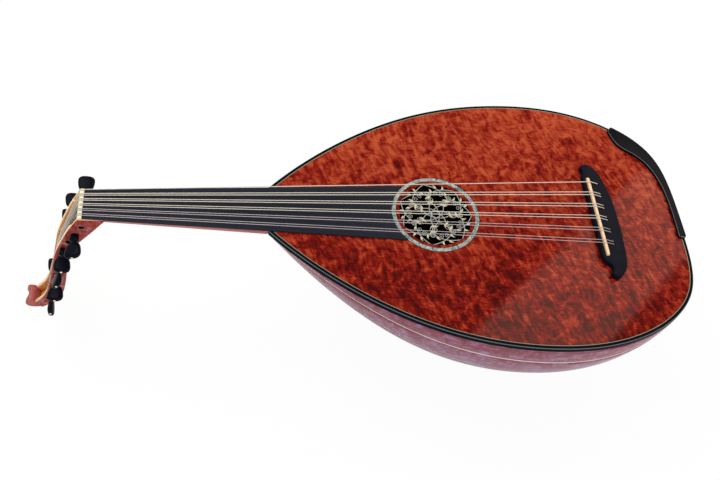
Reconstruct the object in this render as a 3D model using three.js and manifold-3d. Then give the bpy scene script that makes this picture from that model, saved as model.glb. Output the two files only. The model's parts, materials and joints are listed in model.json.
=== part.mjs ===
// Eleven-string electric oud, in millimetres, +Z out of the soundboard.
// Drawn from the nut's front edge (x = 0) to the tail, with z = 0 on the soundboard's top
// and +Y towards the bass side; the finished group is then moved so that its origin lies on
// the flat land at the deepest point of the bowl.
import * as THREE from 'three';
import { mergeVertices } from 'three/addons/utils/BufferGeometryUtils.js';
import { NURBSCurve } from 'three/addons/curves/NURBSCurve.js';
import Module from 'manifold-3d';

const wasm = await Module();
wasm.setup();

// General clearances
const gap = 0.3;                 // between pieces that touch on the real instrument
const overrun = 5;               // how far every cutting tool runs past what it cuts

// String plane
const scaleLength = 585;         // nut to saddle, from which the body takes its size
const nutHalfWidth = 19.25;
const nutLength = 5;             // along the strings
const nutHeight = 3;
const saddleTop = 10.7;          // above the soundboard
const courseNutPitch = 6.5;      // course to course, at the nut
const courseSaddlePitch = 17.1;
const pairNutPitch = 2.2;        // string to string inside a pair
const pairSaddlePitch = 4;
const bassNutY = 17.2;           // the single bass string
const bassSaddleY = 45.2;
const stringRadii = [0.55, 0.52, 0.48, 0.44, 0.4, 0.36];
const stringSides = 6;
const stringWrapShare = 1.15;    // of a string's radius, between its axis and a peg's shaft

// Body outline: control points of one cubic curve, as shares of the body's length and half
// width, from under the fingerboard to the middle of the tail
const neckLengthShare = 0.3243;  // of the scale length, nut to the start of the body's curve
const bodyLengthShare = 0.8632;
const bodyHalfWidthShare = 0.3426;   // of the body's length
const bodyStart = scaleLength * neckLengthShare;
const bodyLength = scaleLength * bodyLengthShare;
const bodyHalfWidth = bodyLength * bodyHalfWidthShare;
const outlineShares = [
  [0, 0.119], [0.0885, 0.406], [0.322, 0.884], [0.615, 1.034],
  [0.828, 0.959], [0.998, 0.627], [1, 0.265], [1, 0],
];

// Staved bowl
const bowlDepthShare = 1.112;    // of the body's half width
const bowlDepth = bodyHalfWidth * bowlDepthShare;
const bowlPowerShare = 1.19;     // how fast the depth falls off as the body narrows
const fullRibsPerHalf = 5.5;     // the middle rib counts half on each side
const edgeRibShare = 0.11;       // share of the half girth that the edge rib takes
const ribThickness = 2.8;
const ribStations = 24;
const restLand = 0.5;            // depth of the flat land worn on the middle ribs

// Soundboard and its edging
const boardThickness = 2.2;
const bindingWidth = 2.8;
const bindingHeight = 6.9;
const purflingWidth = 1.3;
const purflingDepth = 1.2;
const outlineSteps = 36;

// Sound hole, abalone ring and rose
const holePlaceShare = 0.6677;   // of the scale length
const holeX = scaleLength * holePlaceShare;
const holeRadius = 44.2;
const ringInner = 45.4;
const ringOuter = 51.7;
const ringDepth = 1.2;
const holeSides = 56;
const roseThickness = 1.6;
const roseSink = 0.5;            // below the soundboard's top
const roseRimWidth = 1.8;
const roseHubRadius = 5.6;
const roseHubHole = 2.6;
const roseFold = 7;
const roseVineWidth = 1.3;
const roseVineTurn = 1.25;       // radians that a vine swings on its way out
const roseLeafLength = 9;
const roseLeafWidth = 3.8;
const roseLeafShares = [[0.42, 0.7], [0.72, 0.9]];   // place on the vine, and lean in radians
const roseLeafFullness = 0.75;

// Neck and fingerboard
const fingerboardThickness = 1.8;
const fingerboardRingHalfWidth = 39.2;   // at the middle of the sound hole
const neckDepthAtNut = 20;
const neckFullness = 1.4;        // superellipse power of the neck's back at the nut, 2 at the body
const neckHeelX = 12;            // where the neck's underside meets the pegbox's back
const neckSides = 12;
const neckStations = 6;

// Pegbox seen from the side: its two edges, as shares of its reach behind the nut and its drop.
// The back edge starts ahead of the nut, where each cheek runs out along the neck.
const pegboxReach = 70.4;
const pegboxDrop = 193;
const pegboxFrontShares = [[0, 0], [0.192, 0.135], [0.436, 0.364], [0.561, 0.565], [0.639, 0.694], [0.795, 0.891], [1, 1]];
const pegboxBackShares = [
  [-0.422, 0], [-0.138, 0.154], [0.082, 0.275], [0.277, 0.482], [0.393, 0.722], [0.49, 0.865], [0.639, 0.974], [0.902, 1.06],
];
const pegboxTopHalfWidth = 20.5;
const pegboxEndHalfWidth = 12.5;
const cheekThickness = 4.4;
const reliefLength = 12;         // where the cheeks are thinned for the outer strings
const reliefDepth = 16;
const floorThickness = 5;
const pegboxSteps = 20;

// Finial: its outline from the pegbox's front corner, as shares of its length and depth
const finialLength = 12;
const finialDepth = 13;
const finialHalfWidth = 11;
const finialScoop = 4;           // hollow between its two lobes
const finialScoopRadius = 10;
const finialSteps = 22;
const finialShares = [
  [-0.1, -0.1], [0.38, -0.25], [0.72, -0.22], [0.97, 0.08], [0.97, 0.58], [0.68, 0.89], [0.13, 1], [-0.53, 0.89], [-0.8, 0.5],
];

// Pegs
const pegCount = 11;
const pegFirstShare = 0.085;     // place of the first and last peg along the pegbox
const pegLastShare = 0.9;
const pegDepthShare = 0.43;      // from the pegbox's front edge to its back
const pegShaftRadius = 4.3;      // at the collar
const pegTipRadius = 3.6;
const pegCollarRadius = 6;
const pegCollarLength = 3;
const pegStandOff = 4;           // cheek to collar
const pegNeckLength = 4;
const pegKnobWidth = 19.5;
const pegKnobHeight = 19;
const pegKnobThickness = 8.4;
const pegKnobFootShare = 0.62;   // thickness at the knob's foot
const pegKnobShoulderShare = 0.6;    // height at which the knob is widest
const pegKnobDipShare = 0.95;    // height of the shallow dip at its free end
const pegKnobBevel = 1.8;
const pegClearance = 0.3;
const pegSides = 12;
const pegTurns = [5, 20, 8, -10, 82, 62, 95, 5, 85, 90, 70];   // degrees, as left after tuning

// Bridge and saddle
const bridgeLead = 5;            // front edge before the saddle
const bridgeDepth = 31;
const bridgeHalfLength = 80.6;
const bridgeMiddleY = -5;
const bridgeHeight = 7.6;
const bridgeBevel = 1.4;
const bridgeBassShares = [[0, 0.4], [0, 0.75], [0.08, 0.86], [0.03, 0.96], [0.33, 1], [0.69, 0.85], [0.93, 0.46], [1, 0]];
const bridgeTrebleShares = [[0, 0.4], [0, 0.68], [0.24, 0.79], [0.28, 0.87], [0.19, 0.94], [0.4, 1], [0.74, 0.89], [0.93, 0.62]];
const bridgeSteps = 46;
const saddleThickness = 3.2;
const saddleHalfLength = 55.4;
const saddleMiddleY = -2.4;
const saddleSlotDepth = 3.8;
const tieHoleRadius = 1.5;
const tieHoleSetback = 12;       // behind the saddle
const tieHoleDepth = 4.5;
const pickupThickness = 1;
const leadRadius = 1;

// Armrest along the bass side of the tail
const armrestHeight = 4.6;
const armrestBevel = 1.6;
const armrestInset = 0.3;
const armrestLobeWidth = 23;
const armrestStartShare = 0.888; // along the body
const armrestEndShare = -0.156;  // across the body's half width
const armrestWidthShares = [[0, 0.42], [0.05, 0.88], [0.11, 1], [0.2, 0.84], [0.35, 0.6], [0.55, 0.42], [0.75, 0.36], [1, 0.4]];
const armrestSteps = 22;

// Inner blocks and bars
const neckBlockLength = 34;
const tailBlockLength = 27;
const blockStations = 3;
const claspHalfWidthShare = 0.26;
const claspHalfWidth = bodyHalfWidth * claspHalfWidthShare;
const claspThickness = 2.4;
const claspOverlap = 4;          // below the stave ends
const barWidth = 6;
const barHeight = 12;
const barEndHeight = 4;
const barScallop = 22;
const barPlaceShares = [0.163, 0.262, 0.539, 0.684];   // along the body

// Output jack
const jackRadius = 6;
const jackBoreRadius = 3.4;
const jackCollarRadius = 9;
const jackCollarLength = 3;
const jackLength = 44;
const jackFloor = 6;
const jackDropShare = 0.62;      // of the bowl's depth at the clasp
const jackSides = 16;

// Finishes
const paint = (hex, roughness, metalness = 0) =>
  new THREE.MeshStandardMaterial({ color: hex, roughness, metalness });
const redBurl = paint(0x9b3c2a, 0.2);
const roseWood = paint(0x96697a, 0.35);
const ebony = paint(0x15161a, 0.35);
const ivory = paint(0xf0ebd2, 0.45);
const paleLine = paint(0xb9bda6, 0.4);
const abalone = paint(0x7fb3a8, 0.25);
const pearl = paint(0xb8ab8a, 0.35);
const redWood = paint(0x8a3524, 0.4);
const spruce = paint(0xdcc28e, 0.7);
const nylon = paint(0xe2d3bd, 0.35);
const steel = paint(0xb8bcc0, 0.3, 0.9);
const cable = paint(0x202020, 0.6);

const oud = new THREE.Group();

function addPiece(name, geometry, material) {
  const mesh = new THREE.Mesh(geometry, material);
  mesh.name = name;
  oud.add(mesh);
  return mesh;
}

// Booleans
function toSolid(geometry) {
  const bare = geometry.clone();
  bare.deleteAttribute('normal');
  bare.deleteAttribute('uv');
  const merged = mergeVertices(bare, 1e-4);
  return new wasm.Manifold(new wasm.Mesh({
    numProp: 3,
    vertProperties: merged.attributes.position.array,
    triVerts: Uint32Array.from(merged.index.array),
  }));
}

function toGeometry(solid) {
  const mesh = solid.getMesh();
  const geometry = new THREE.BufferGeometry();
  geometry.setAttribute('position', new THREE.BufferAttribute(mesh.vertProperties, 3));
  geometry.setIndex(new THREE.BufferAttribute(mesh.triVerts, 1));
  return geometry;
}

function cutAll(geometry, tools) {
  let solid = toSolid(geometry);
  for (const tool of tools) solid = solid.subtract(toSolid(tool));
  return toGeometry(solid);
}

function joinAll(geometries) {
  let solid = toSolid(geometries[0]);
  for (const other of geometries.slice(1)) solid = solid.add(toSolid(other));
  return toGeometry(solid);
}

// A box between two corners
function block(low, high) {
  const box = new THREE.BoxGeometry();
  const place = box.attributes.position;
  for (let i = 0; i < place.count; i += 1) {
    const sides = [place.getX(i), place.getY(i), place.getZ(i)];
    place.setXYZ(i, ...sides.map((side, axis) => (side < 0 ? low[axis] : high[axis])));
  }
  return box;
}

// A plan outline raised along +Z from z = low
function plate(points, low, height, holes = []) {
  const shape = new THREE.Shape(points);
  shape.holes = holes.map((hole) => new THREE.Path(hole));
  return new THREE.ExtrudeGeometry(shape, { depth: height, bevelEnabled: false }).translate(0, 0, low);
}

// A plan outline with a rounded top edge, standing on z = 0
function roundedPlate(points, height, bevel) {
  const shape = new THREE.Shape(points);
  const solid = new THREE.ExtrudeGeometry(shape, {
    depth: height - bevel + overrun,
    bevelThickness: bevel,
    bevelSize: bevel,
    bevelOffset: -bevel,
    bevelSegments: 2,
  }).translate(0, 0, -overrun);
  const reach = 2 * bodyLength;
  return cutAll(solid, [block([-reach, -reach, -overrun - reach], [reach, reach, 0])]);
}

// A closed loft through rings of equal count
function loft(rings) {
  const count = rings[0].length;
  const points = rings.flat();
  const faces = [];
  for (let ring = 0; ring + 1 < rings.length; ring += 1) {
    for (let side = 0; side < count; side += 1) {
      const a = ring * count + side;
      const b = ring * count + ((side + 1) % count);
      faces.push(a, b, a + count, b, b + count, a + count);
    }
  }
  const last = (rings.length - 1) * count;
  for (let side = 1; side + 1 < count; side += 1) {
    faces.push(0, side + 1, side);
    faces.push(last, last + side, last + side + 1);
  }
  const geometry = new THREE.BufferGeometry().setFromPoints(points);
  geometry.setIndex(faces);
  return signedVolume(points, faces) < 0 ? flipped(geometry, faces) : geometry;
}

function signedVolume(points, faces) {
  let sum = 0;
  for (let i = 0; i < faces.length; i += 3) {
    const [a, b, c] = [points[faces[i]], points[faces[i + 1]], points[faces[i + 2]]];
    sum += a.dot(new THREE.Vector3().crossVectors(b, c));
  }
  return sum;
}

function flipped(geometry, faces) {
  const turned = [];
  for (let i = 0; i < faces.length; i += 3) turned.push(faces[i], faces[i + 2], faces[i + 1]);
  geometry.setIndex(turned);
  return geometry;
}

function circlePoints(x, y, radius, sides) {
  const points = [];
  for (let i = 0; i < sides; i += 1) {
    const angle = (i / sides) * 2 * Math.PI;
    points.push(new THREE.Vector2(x + radius * Math.cos(angle), y + radius * Math.sin(angle)));
  }
  return points;
}

// Body outline
const outlineDegree = 3;
const innerKnots = outlineShares.length - outlineDegree;
const outlineKnots = [0, 0, 0];
for (let i = 0; i <= innerKnots; i += 1) outlineKnots.push(i / innerKnots);
outlineKnots.push(1, 1, 1);
const outlineCurve = new NURBSCurve(
  outlineDegree,
  outlineKnots,
  outlineShares.map(([along, across]) =>
    new THREE.Vector4(bodyStart + along * bodyLength, across * bodyHalfWidth, 0, 1)),
);

function outlineAt(t) {
  return outlineCurve.getPoint(t);
}

// Outward normal of the bass half, in plan
function outlineNormal(t) {
  const step = 1e-4;
  const before = outlineAt(Math.max(0, t - step));
  const after = outlineAt(Math.min(1, t + step));
  const along = after.sub(before);
  return new THREE.Vector2(-along.y, along.x).normalize();
}

// Where a rising test first holds, by halving
function firstWhere(test, low, high) {
  let [below, above] = [low, high];
  for (let i = 0; i < 40; i += 1) {
    const middle = (below + above) / 2;
    if (test(middle)) above = middle;
    else below = middle;
  }
  return above;
}

const widestT = firstWhere((t) => outlineNormal(t).x > 0, 0, 1);
const fingerboardHalfWidthAt = (x) =>
  nutHalfWidth + ((fingerboardRingHalfWidth - nutHalfWidth) * x) / holeX;
const jointT = firstWhere((t) => outlineAt(t).y > fingerboardHalfWidthAt(outlineAt(t).x), 0, widestT);
const claspT = firstWhere((t) => outlineAt(t).y < claspHalfWidth, widestT, 1);
const joint = outlineAt(jointT);
const tailX = outlineAt(1).x;

// The bass half of the outline, moved inwards by an inset
function halfOutline(inset, from = jointT, to = 1, steps = outlineSteps) {
  const points = [];
  for (let i = 0; i <= steps; i += 1) {
    const t = from + ((to - from) * i) / steps;
    const place = outlineAt(t);
    const normal = outlineNormal(t);
    points.push(new THREE.Vector2(place.x - inset * normal.x, place.y - inset * normal.y));
  }
  return points;
}

// The whole outline, bass side out and treble side back
function wholeOutline(inset) {
  const bass = halfOutline(inset);
  bass[bass.length - 1].y = 0;
  const treble = bass.slice(0, -1).reverse().map((p) => new THREE.Vector2(p.x, -p.y));
  return [...bass, ...treble];
}

// A band that follows the outline between two insets, open at the neck
const edgeBand = (outer, inner) => [...wholeOutline(outer), ...wholeOutline(inner).reverse()];

// Bowl surface: a circle in each cross-section, through both edges and the keel.
// Girth runs from 0 at the bass edge over 1 at the keel to 2 at the treble edge.
function bowlPoint(t, girth) {
  const { x, y: half } = outlineAt(t);
  const depth = bowlDepth * (half / bodyHalfWidth) ** bowlPowerShare;
  const radius = (half * half + depth * depth) / (2 * depth);
  const centreZ = radius - depth;
  const edgeAngle = Math.atan2(-centreZ, half);
  const angle = edgeAngle - girth * (Math.PI / 2 + edgeAngle);
  return new THREE.Vector3(x, radius * Math.cos(angle), centreZ + radius * Math.sin(angle));
}

function bowlNormal(t, girth) {
  const step = 1e-4;
  const along = bowlPoint(t + step, girth).sub(bowlPoint(t - step, girth));
  const around = bowlPoint(t, girth + step).sub(bowlPoint(t, girth - step));
  return new THREE.Vector3().crossVectors(along, around).normalize();
}

const bowlInside = (t, girth, inset) =>
  bowlPoint(t, girth).addScaledVector(bowlNormal(t, girth), -inset);

const ribStepShare = (1 - edgeRibShare) / fullRibsPerHalf;
const seams = [0];
for (let girth = edgeRibShare; girth < 1; girth += ribStepShare) seams.push(girth);
seams.push(...seams.slice().reverse().map((girth) => 2 - girth));

const stationT = (i) => jointT + ((claspT - jointT) * i) / ribStations;

function rib(fromGirth, toGirth) {
  const rings = [];
  for (let i = 0; i <= ribStations; i += 1) {
    const t = stationT(i);
    const corners = [bowlPoint(t, fromGirth), bowlPoint(t, toGirth)];
    const inner = [fromGirth, toGirth].map((girth) => bowlInside(t, girth, ribThickness));
    const across = corners[1].clone().sub(corners[0]).normalize().multiplyScalar(gap / 2);
    rings.push([
      corners[0].add(across),
      corners[1].sub(across),
      inner[1].sub(across),
      inner[0].add(across),
    ]);
  }
  return loft(rings);
}

const keelLow = bowlPoint(widestT, 1 - ribStepShare / 2).z;
const landZ = keelLow + restLand;
const landX = outlineAt(widestT).x;

const aboveBinding = block(
  [0, -bodyLength, -bindingHeight - gap],
  [2 * bodyLength, bodyLength, overrun],
);
const belowLand = block(
  [0, -bodyLength, landZ - bowlDepth],
  [2 * bodyLength, bodyLength, landZ],
);

for (let i = 0; i + 1 < seams.length; i += 1) {
  const plain = rib(seams[i], seams[i + 1]);
  addPiece(`bowl_rib_${String(i + 1).padStart(2, '0')}`, cutAll(plain, [aboveBinding, belowLand]), roseWood);
}

// Soundboard with its sound hole, edge ledge and inlay channels
const boardLow = -boardThickness;
const boardBlank = plate(
  wholeOutline(bindingWidth + gap),
  boardLow,
  boardThickness,
  [circlePoints(holeX, 0, holeRadius, holeSides)],
);
const purflingChannel = plate(
  edgeBand(bindingWidth - overrun / 2, bindingWidth + purflingWidth + 2 * gap),
  -purflingDepth - gap,
  purflingDepth + overrun,
);
const ringChannel = plate(
  circlePoints(holeX, 0, ringOuter + gap, holeSides),
  -ringDepth - gap,
  ringDepth + overrun,
  [circlePoints(holeX, 0, ringInner - gap, holeSides)],
);

// Piezo strip under the saddle, and where its lead goes through the top
const saddleLow = bridgeHeight - saddleSlotDepth;
const slotLow = saddleLow - pickupThickness - 2 * gap;
const leadY = saddleMiddleY - saddleHalfLength + 4 * leadRadius;
const leadHole = new THREE.CylinderGeometry(
  leadRadius + gap, leadRadius + gap, bridgeHeight + 2 * overrun, stringSides * 2,
).rotateX(Math.PI / 2).translate(scaleLength, leadY, 0);

addPiece('soundboard', cutAll(boardBlank, [purflingChannel, ringChannel, leadHole]), redBurl);
addPiece('binding', plate(edgeBand(0, bindingWidth), -bindingHeight, bindingHeight), ebony);
addPiece('edge_purfling', plate(
  edgeBand(bindingWidth + gap, bindingWidth + gap + purflingWidth),
  -purflingDepth,
  purflingDepth,
), paleLine);
addPiece('rosette_ring', plate(
  circlePoints(holeX, 0, ringOuter, holeSides),
  -ringDepth,
  ringDepth,
  [circlePoints(holeX, 0, ringInner, holeSides)],
), abalone);

// Rose: vines that swing out from a hub ring, crossed by a mirrored set, with a leaf on each
function ribbon(points, width) {
  const left = [];
  const right = [];
  points.forEach((point, i) => {
    const before = points[Math.max(0, i - 1)];
    const after = points[Math.min(points.length - 1, i + 1)];
    const side = after.clone().sub(before).normalize().multiplyScalar(width / 2);
    left.push(new THREE.Vector2(point.x - side.y, point.y + side.x));
    right.unshift(new THREE.Vector2(point.x + side.y, point.y - side.x));
  });
  return [...left, ...right];
}

const roseOuter = holeRadius - gap;
const roseLow = -roseSink - roseThickness;
const vineSteps = 6;
const roseStepShare = 0.05;

function vinePoint(share, turn, start) {
  const radius = roseHubRadius + share * (roseOuter - roseRimWidth / 2 - roseHubRadius);
  const angle = start + turn * Math.sin(share * Math.PI) * (1 - share / 2);
  return new THREE.Vector2(radius * Math.cos(angle), radius * Math.sin(angle));
}

function leafPoints(base, direction, length, width) {
  const points = [];
  const side = new THREE.Vector2(-direction.y, direction.x);
  const leafSteps = 3;
  for (const sign of [1, -1]) {
    for (let i = 0; i < leafSteps; i += 1) {
      const along = sign > 0 ? i / leafSteps : 1 - i / leafSteps;
      const across = (sign * width / 2) * Math.sin(Math.PI * along ** roseLeafFullness);
      points.push(base.clone().addScaledVector(direction, along * length).addScaledVector(side, across));
    }
  }
  return points;
}

function rosePieces() {
  const rim = plate(circlePoints(0, 0, roseOuter, holeSides), roseLow, roseThickness,
    [circlePoints(0, 0, roseOuter - roseRimWidth, holeSides)]);
  const hub = plate(circlePoints(0, 0, roseHubRadius + roseVineWidth / 2, 2 * roseFold), roseLow, roseThickness,
    [circlePoints(0, 0, roseHubHole, roseFold)]);
  const pieces = [rim, hub];
  for (let i = 0; i < roseFold; i += 1) {
    const start = (i / roseFold) * 2 * Math.PI;
    for (const turn of [roseVineTurn, -roseVineTurn]) {
      const vine = [];
      for (let k = 0; k <= vineSteps; k += 1) vine.push(vinePoint(k / vineSteps, turn, start));
      pieces.push(plate(ribbon(vine, roseVineWidth), roseLow, roseThickness));
      for (const [share, lean] of roseLeafShares) {
        const base = vinePoint(share, turn, start);
        const ahead = vinePoint(share + roseStepShare, turn, start).sub(base).normalize();
        ahead.rotateAround(new THREE.Vector2(0, 0), Math.sign(turn) * lean);
        base.addScaledVector(ahead, -roseVineWidth);
        pieces.push(plate(leafPoints(base, ahead, roseLeafLength, roseLeafWidth), roseLow, roseThickness));
      }
    }
  }
  return pieces;
}

const roseKeep = plate(circlePoints(0, 0, roseOuter, holeSides), roseLow - gap, roseThickness + 2 * gap);
const roseSolid = toSolid(joinAll(rosePieces())).intersect(toSolid(roseKeep));
addPiece('rose', toGeometry(roseSolid).translate(holeX, 0, 0), pearl);

// Neck, cut on the slant where the pegbox meets it
const neckEndX = joint.x - gap;
const neckDepthAtJoint = -bowlPoint(jointT, 1).z;

function neckRing(x) {
  const share = (x + nutLength) / (neckEndX + nutLength);
  const half = fingerboardHalfWidthAt(x);
  const depth = neckDepthAtNut + (neckDepthAtJoint - neckDepthAtNut) * share;
  const fullness = neckFullness + (2 - neckFullness) * share;
  const ring = [];
  for (let i = 0; i <= neckSides; i += 1) {
    const angle = (Math.PI * i) / neckSides;
    const round = (value) => Math.sign(value) * Math.abs(value) ** (2 / fullness);
    ring.push(new THREE.Vector3(x, half * round(Math.cos(angle)), -depth * round(Math.sin(angle))));
  }
  return ring;
}

const neckRings = [];
for (let i = 0; i <= neckStations; i += 1) {
  neckRings.push(neckRing(-nutLength + ((neckEndX + nutLength) * i) / neckStations));
}

// Side profiles, in x and z, swept across from -half to +half
function sideProfile(points, half) {
  return new THREE.ExtrudeGeometry(new THREE.Shape(points), { depth: 2 * half, bevelEnabled: false })
    .translate(0, 0, -half)
    .rotateX(Math.PI / 2);
}

const headTop = new THREE.Vector2(-nutLength, 0);
const headBottom = new THREE.Vector2(neckHeelX, -neckDepthAtNut);
const headSlope = headBottom.clone().sub(headTop).normalize();
const headFar = 3 * neckDepthAtNut;
const headWedge = sideProfile([
  headTop.clone(),
  headTop.clone().addScaledVector(headSlope, headFar),
  new THREE.Vector2(headTop.x - overrun, headTop.y - headFar),
  new THREE.Vector2(headTop.x - overrun, headTop.y),
], 2 * nutHalfWidth);

// Pegbox edges as smooth curves
const edgeCurve = (shares) => new THREE.SplineCurve(shares.map(([reach, drop]) =>
  new THREE.Vector2(-nutLength - reach * pegboxReach, -drop * pegboxDrop)));
const frontCurve = edgeCurve(pegboxFrontShares);
const backCurve = edgeCurve(pegboxBackShares);
const pegboxEndZ = (frontCurve.getPoint(1).y + backCurve.getPoint(1).y) / 2;
const pegboxHalfAt = (z) =>
  pegboxTopHalfWidth + ((pegboxEndHalfWidth - pegboxTopHalfWidth) * z) / pegboxEndZ;

function curveRun(curve, from = 0, to = 1) {
  const points = [];
  for (let i = 0; i <= pegboxSteps; i += 1) points.push(curve.getPointAt(from + ((to - from) * i) / pegboxSteps));
  return points;
}

// A run beside a curve, on the pegbox's inner side of the back edge
function insideRun(curve, distance) {
  const points = [];
  for (let i = 0; i <= pegboxSteps; i += 1) {
    const along = curve.getTangentAt(i / pegboxSteps);
    points.push(curve.getPointAt(i / pegboxSteps).add(new THREE.Vector2(along.y, -along.x).multiplyScalar(distance)));
  }
  return points;
}

// Slides each point of a plate across, so that the pegbox narrows towards its end
function taperAcross(geometry, side) {
  const place = geometry.attributes.position;
  for (let i = 0; i < place.count; i += 1) {
    place.setY(i, place.getY(i) + side * pegboxHalfAt(place.getZ(i)));
  }
  return geometry;
}

// Everything outside the inner faces of the cheeks, within a side outline
const beyondCheeks = (outline) => [1, -1].map((side) => taperAcross(
  sideProfile(outline, bodyHalfWidth).translate(0, side * (bodyHalfWidth - cheekThickness - gap), 0),
  side,
));

// The neck stands between the cheeks as far as they run out along it
const cheekRoom = insideRun(backCurve, -gap);
const neckTools = beyondCheeks([
  ...cheekRoom,
  new THREE.Vector2(-2 * pegboxReach, cheekRoom.at(-1).y),
  new THREE.Vector2(-2 * pegboxReach, overrun),
  new THREE.Vector2(cheekRoom[0].x, overrun),
]);
addPiece('neck', cutAll(loft(neckRings), [headWedge, ...neckTools]), redWood);

// Fingerboard over neck and top, hollowed to fit round the abalone ring
const boardEndX = holeX;
const fingerboardBlank = plate([
  new THREE.Vector2(gap, nutHalfWidth),
  new THREE.Vector2(gap, -nutHalfWidth),
  new THREE.Vector2(boardEndX, -fingerboardRingHalfWidth),
  new THREE.Vector2(boardEndX, fingerboardRingHalfWidth),
], 0, fingerboardThickness);
const ringClear = plate(circlePoints(holeX, 0, ringOuter + gap, holeSides), -overrun, fingerboardThickness + 2 * overrun);
addPiece('fingerboard', cutAll(fingerboardBlank, [ringClear]), ebony);

// Nut with a rounded back
const nutRise = new THREE.Shape();
nutRise.moveTo(0, 0);
nutRise.lineTo(0, nutHeight);
nutRise.lineTo(-nutLength / 2, nutHeight);
nutRise.quadraticCurveTo(-nutLength, nutHeight, -nutLength, nutHeight / 3);
nutRise.lineTo(-nutLength, 0);
const nutBody = new THREE.ExtrudeGeometry(nutRise, { depth: 2 * nutHalfWidth, bevelEnabled: false, curveSegments: 5 })
  .translate(0, 0, -nutHalfWidth)
  .rotateX(Math.PI / 2);
addPiece('nut', nutBody, ivory);

// Everything on the neck's side of the slanted joint, less the glue line
const headAcross = new THREE.Vector2(headSlope.y, -headSlope.x).multiplyScalar(gap);
const neckSide = sideProfile([
  headTop.clone().add(headAcross).addScaledVector(headSlope, -overrun),
  headTop.clone().add(headAcross).addScaledVector(headSlope, headFar),
  new THREE.Vector2(headBottom.x + headFar, headBottom.y),
  new THREE.Vector2(headTop.x, headTop.y + headFar),
], 2 * nutHalfWidth);

const cheekOutline = [...curveRun(frontCurve), ...curveRun(backCurve).reverse()];

// Pegs lie between the two edges, alternately from the bass and the treble side
function pegPlace(i) {
  const share = pegFirstShare + ((pegLastShare - pegFirstShare) * i) / (pegCount - 1);
  const front = frontCurve.getPointAt(share);
  const back = backCurve.getPointAt(share);
  return { centre: front.clone().lerp(back, pegDepthShare), front, side: i % 2 === 0 ? 1 : -1 };
}

const pegPlaces = Array.from({ length: pegCount }, (_, i) => pegPlace(i));

function pegLengths(place) {
  const half = pegboxHalfAt(place.centre.y);
  return { half, shaft: 2 * half + pegStandOff };
}

// A peg stands on its thin end at y = 0, with its knob up
function pegShaft(place, extra) {
  const { shaft } = pegLengths(place);
  return new THREE.CylinderGeometry(pegShaftRadius + extra, pegTipRadius + extra, shaft + 2 * extra, pegSides)
    .translate(0, shaft / 2, 0);
}

function knobOutline() {
  const half = pegKnobWidth / 2;
  const waist = pegCollarRadius / 2;
  const shoulder = pegKnobHeight * pegKnobShoulderShare;
  const dip = pegKnobHeight * pegKnobDipShare;
  const shape = new THREE.Shape();
  shape.moveTo(-waist, 0);
  shape.bezierCurveTo(-half, waist / 2, -half, pegKnobHeight / 2, -half, shoulder);
  shape.bezierCurveTo(-half, pegKnobHeight, -waist, pegKnobHeight, 0, dip);
  shape.bezierCurveTo(waist, pegKnobHeight, half, pegKnobHeight, half, shoulder);
  shape.bezierCurveTo(half, pegKnobHeight / 2, half, waist / 2, waist, 0);
  return shape;
}

// Thins a knob towards its foot
function thinned(knob) {
  const place = knob.attributes.position;
  for (let i = 0; i < place.count; i += 1) {
    const share = pegKnobFootShare + (1 - pegKnobFootShare) * (place.getY(i) / pegKnobHeight);
    place.setZ(i, place.getZ(i) * share);
  }
  return knob;
}

function pegGeometry(place, turn) {
  const { shaft } = pegLengths(place);
  const collar = new THREE.LatheGeometry([
    new THREE.Vector2(0, shaft - overrun / 2),
    new THREE.Vector2(pegTipRadius, shaft - overrun / 2),
    new THREE.Vector2(pegCollarRadius, shaft),
    new THREE.Vector2(pegCollarRadius, shaft + pegCollarLength),
    new THREE.Vector2(pegCollarRadius / 2, shaft + pegCollarLength + pegNeckLength / 2),
    new THREE.Vector2(pegCollarRadius / 2, shaft + pegCollarLength + pegNeckLength + overrun),
    new THREE.Vector2(0, shaft + pegCollarLength + pegNeckLength + overrun),
  ], pegSides);
  const knobPlate = new THREE.ExtrudeGeometry(knobOutline(), {
    depth: pegKnobThickness - 2 * pegKnobBevel,
    bevelThickness: pegKnobBevel,
    bevelSize: pegKnobBevel,
    bevelOffset: -pegKnobBevel,
    bevelSegments: 1,
    curveSegments: 3,
  }).translate(0, 0, pegKnobBevel - pegKnobThickness / 2);
  const knob = thinned(knobPlate).translate(0, shaft + pegCollarLength + pegNeckLength, 0);
  return joinAll([pegShaft(place, 0), collar, knob]).rotateY(THREE.MathUtils.degToRad(turn));
}

function standPeg(geometry, place) {
  const { half } = pegLengths(place);
  if (place.side < 0) geometry.rotateX(Math.PI);
  return geometry.translate(place.centre.x, -place.side * half, place.centre.y);
}

const pegBores = pegPlaces.map((place) => standPeg(pegShaft(place, pegClearance), place));

const stringRelief = block(
  [-nutLength - reliefLength, -bassNutY - 2 * stringRadii[0], -reliefDepth],
  [-nutLength, bassNutY + 2 * stringRadii[0], nutHeight],
);

function cheek(side) {
  const flat = sideProfile(cheekOutline, cheekThickness / 2);
  flat.translate(0, (-side * cheekThickness) / 2, 0);
  return cutAll(taperAcross(flat, side), [stringRelief, ...pegBores]);
}

addPiece('pegbox_cheek_bass', cheek(1), redWood);
addPiece('pegbox_cheek_treble', cheek(-1), redWood);

// Everything on one side of the pegbox's slanted lower end
const finialFront = frontCurve.getPoint(1);
const endSlope = backCurve.getPoint(1).sub(finialFront).normalize();
const endDown = new THREE.Vector2(endSlope.y, -endSlope.x);
const endFar = 3 * finialDepth;
const endCorner = (along, down) =>
  finialFront.clone().addScaledVector(endSlope, along).addScaledVector(endDown, down);
const endSide = (from, to) => sideProfile([
  endCorner(-endFar, from), endCorner(endFar, from), endCorner(endFar, to), endCorner(-endFar, to),
], 2 * pegboxTopHalfWidth);

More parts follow.
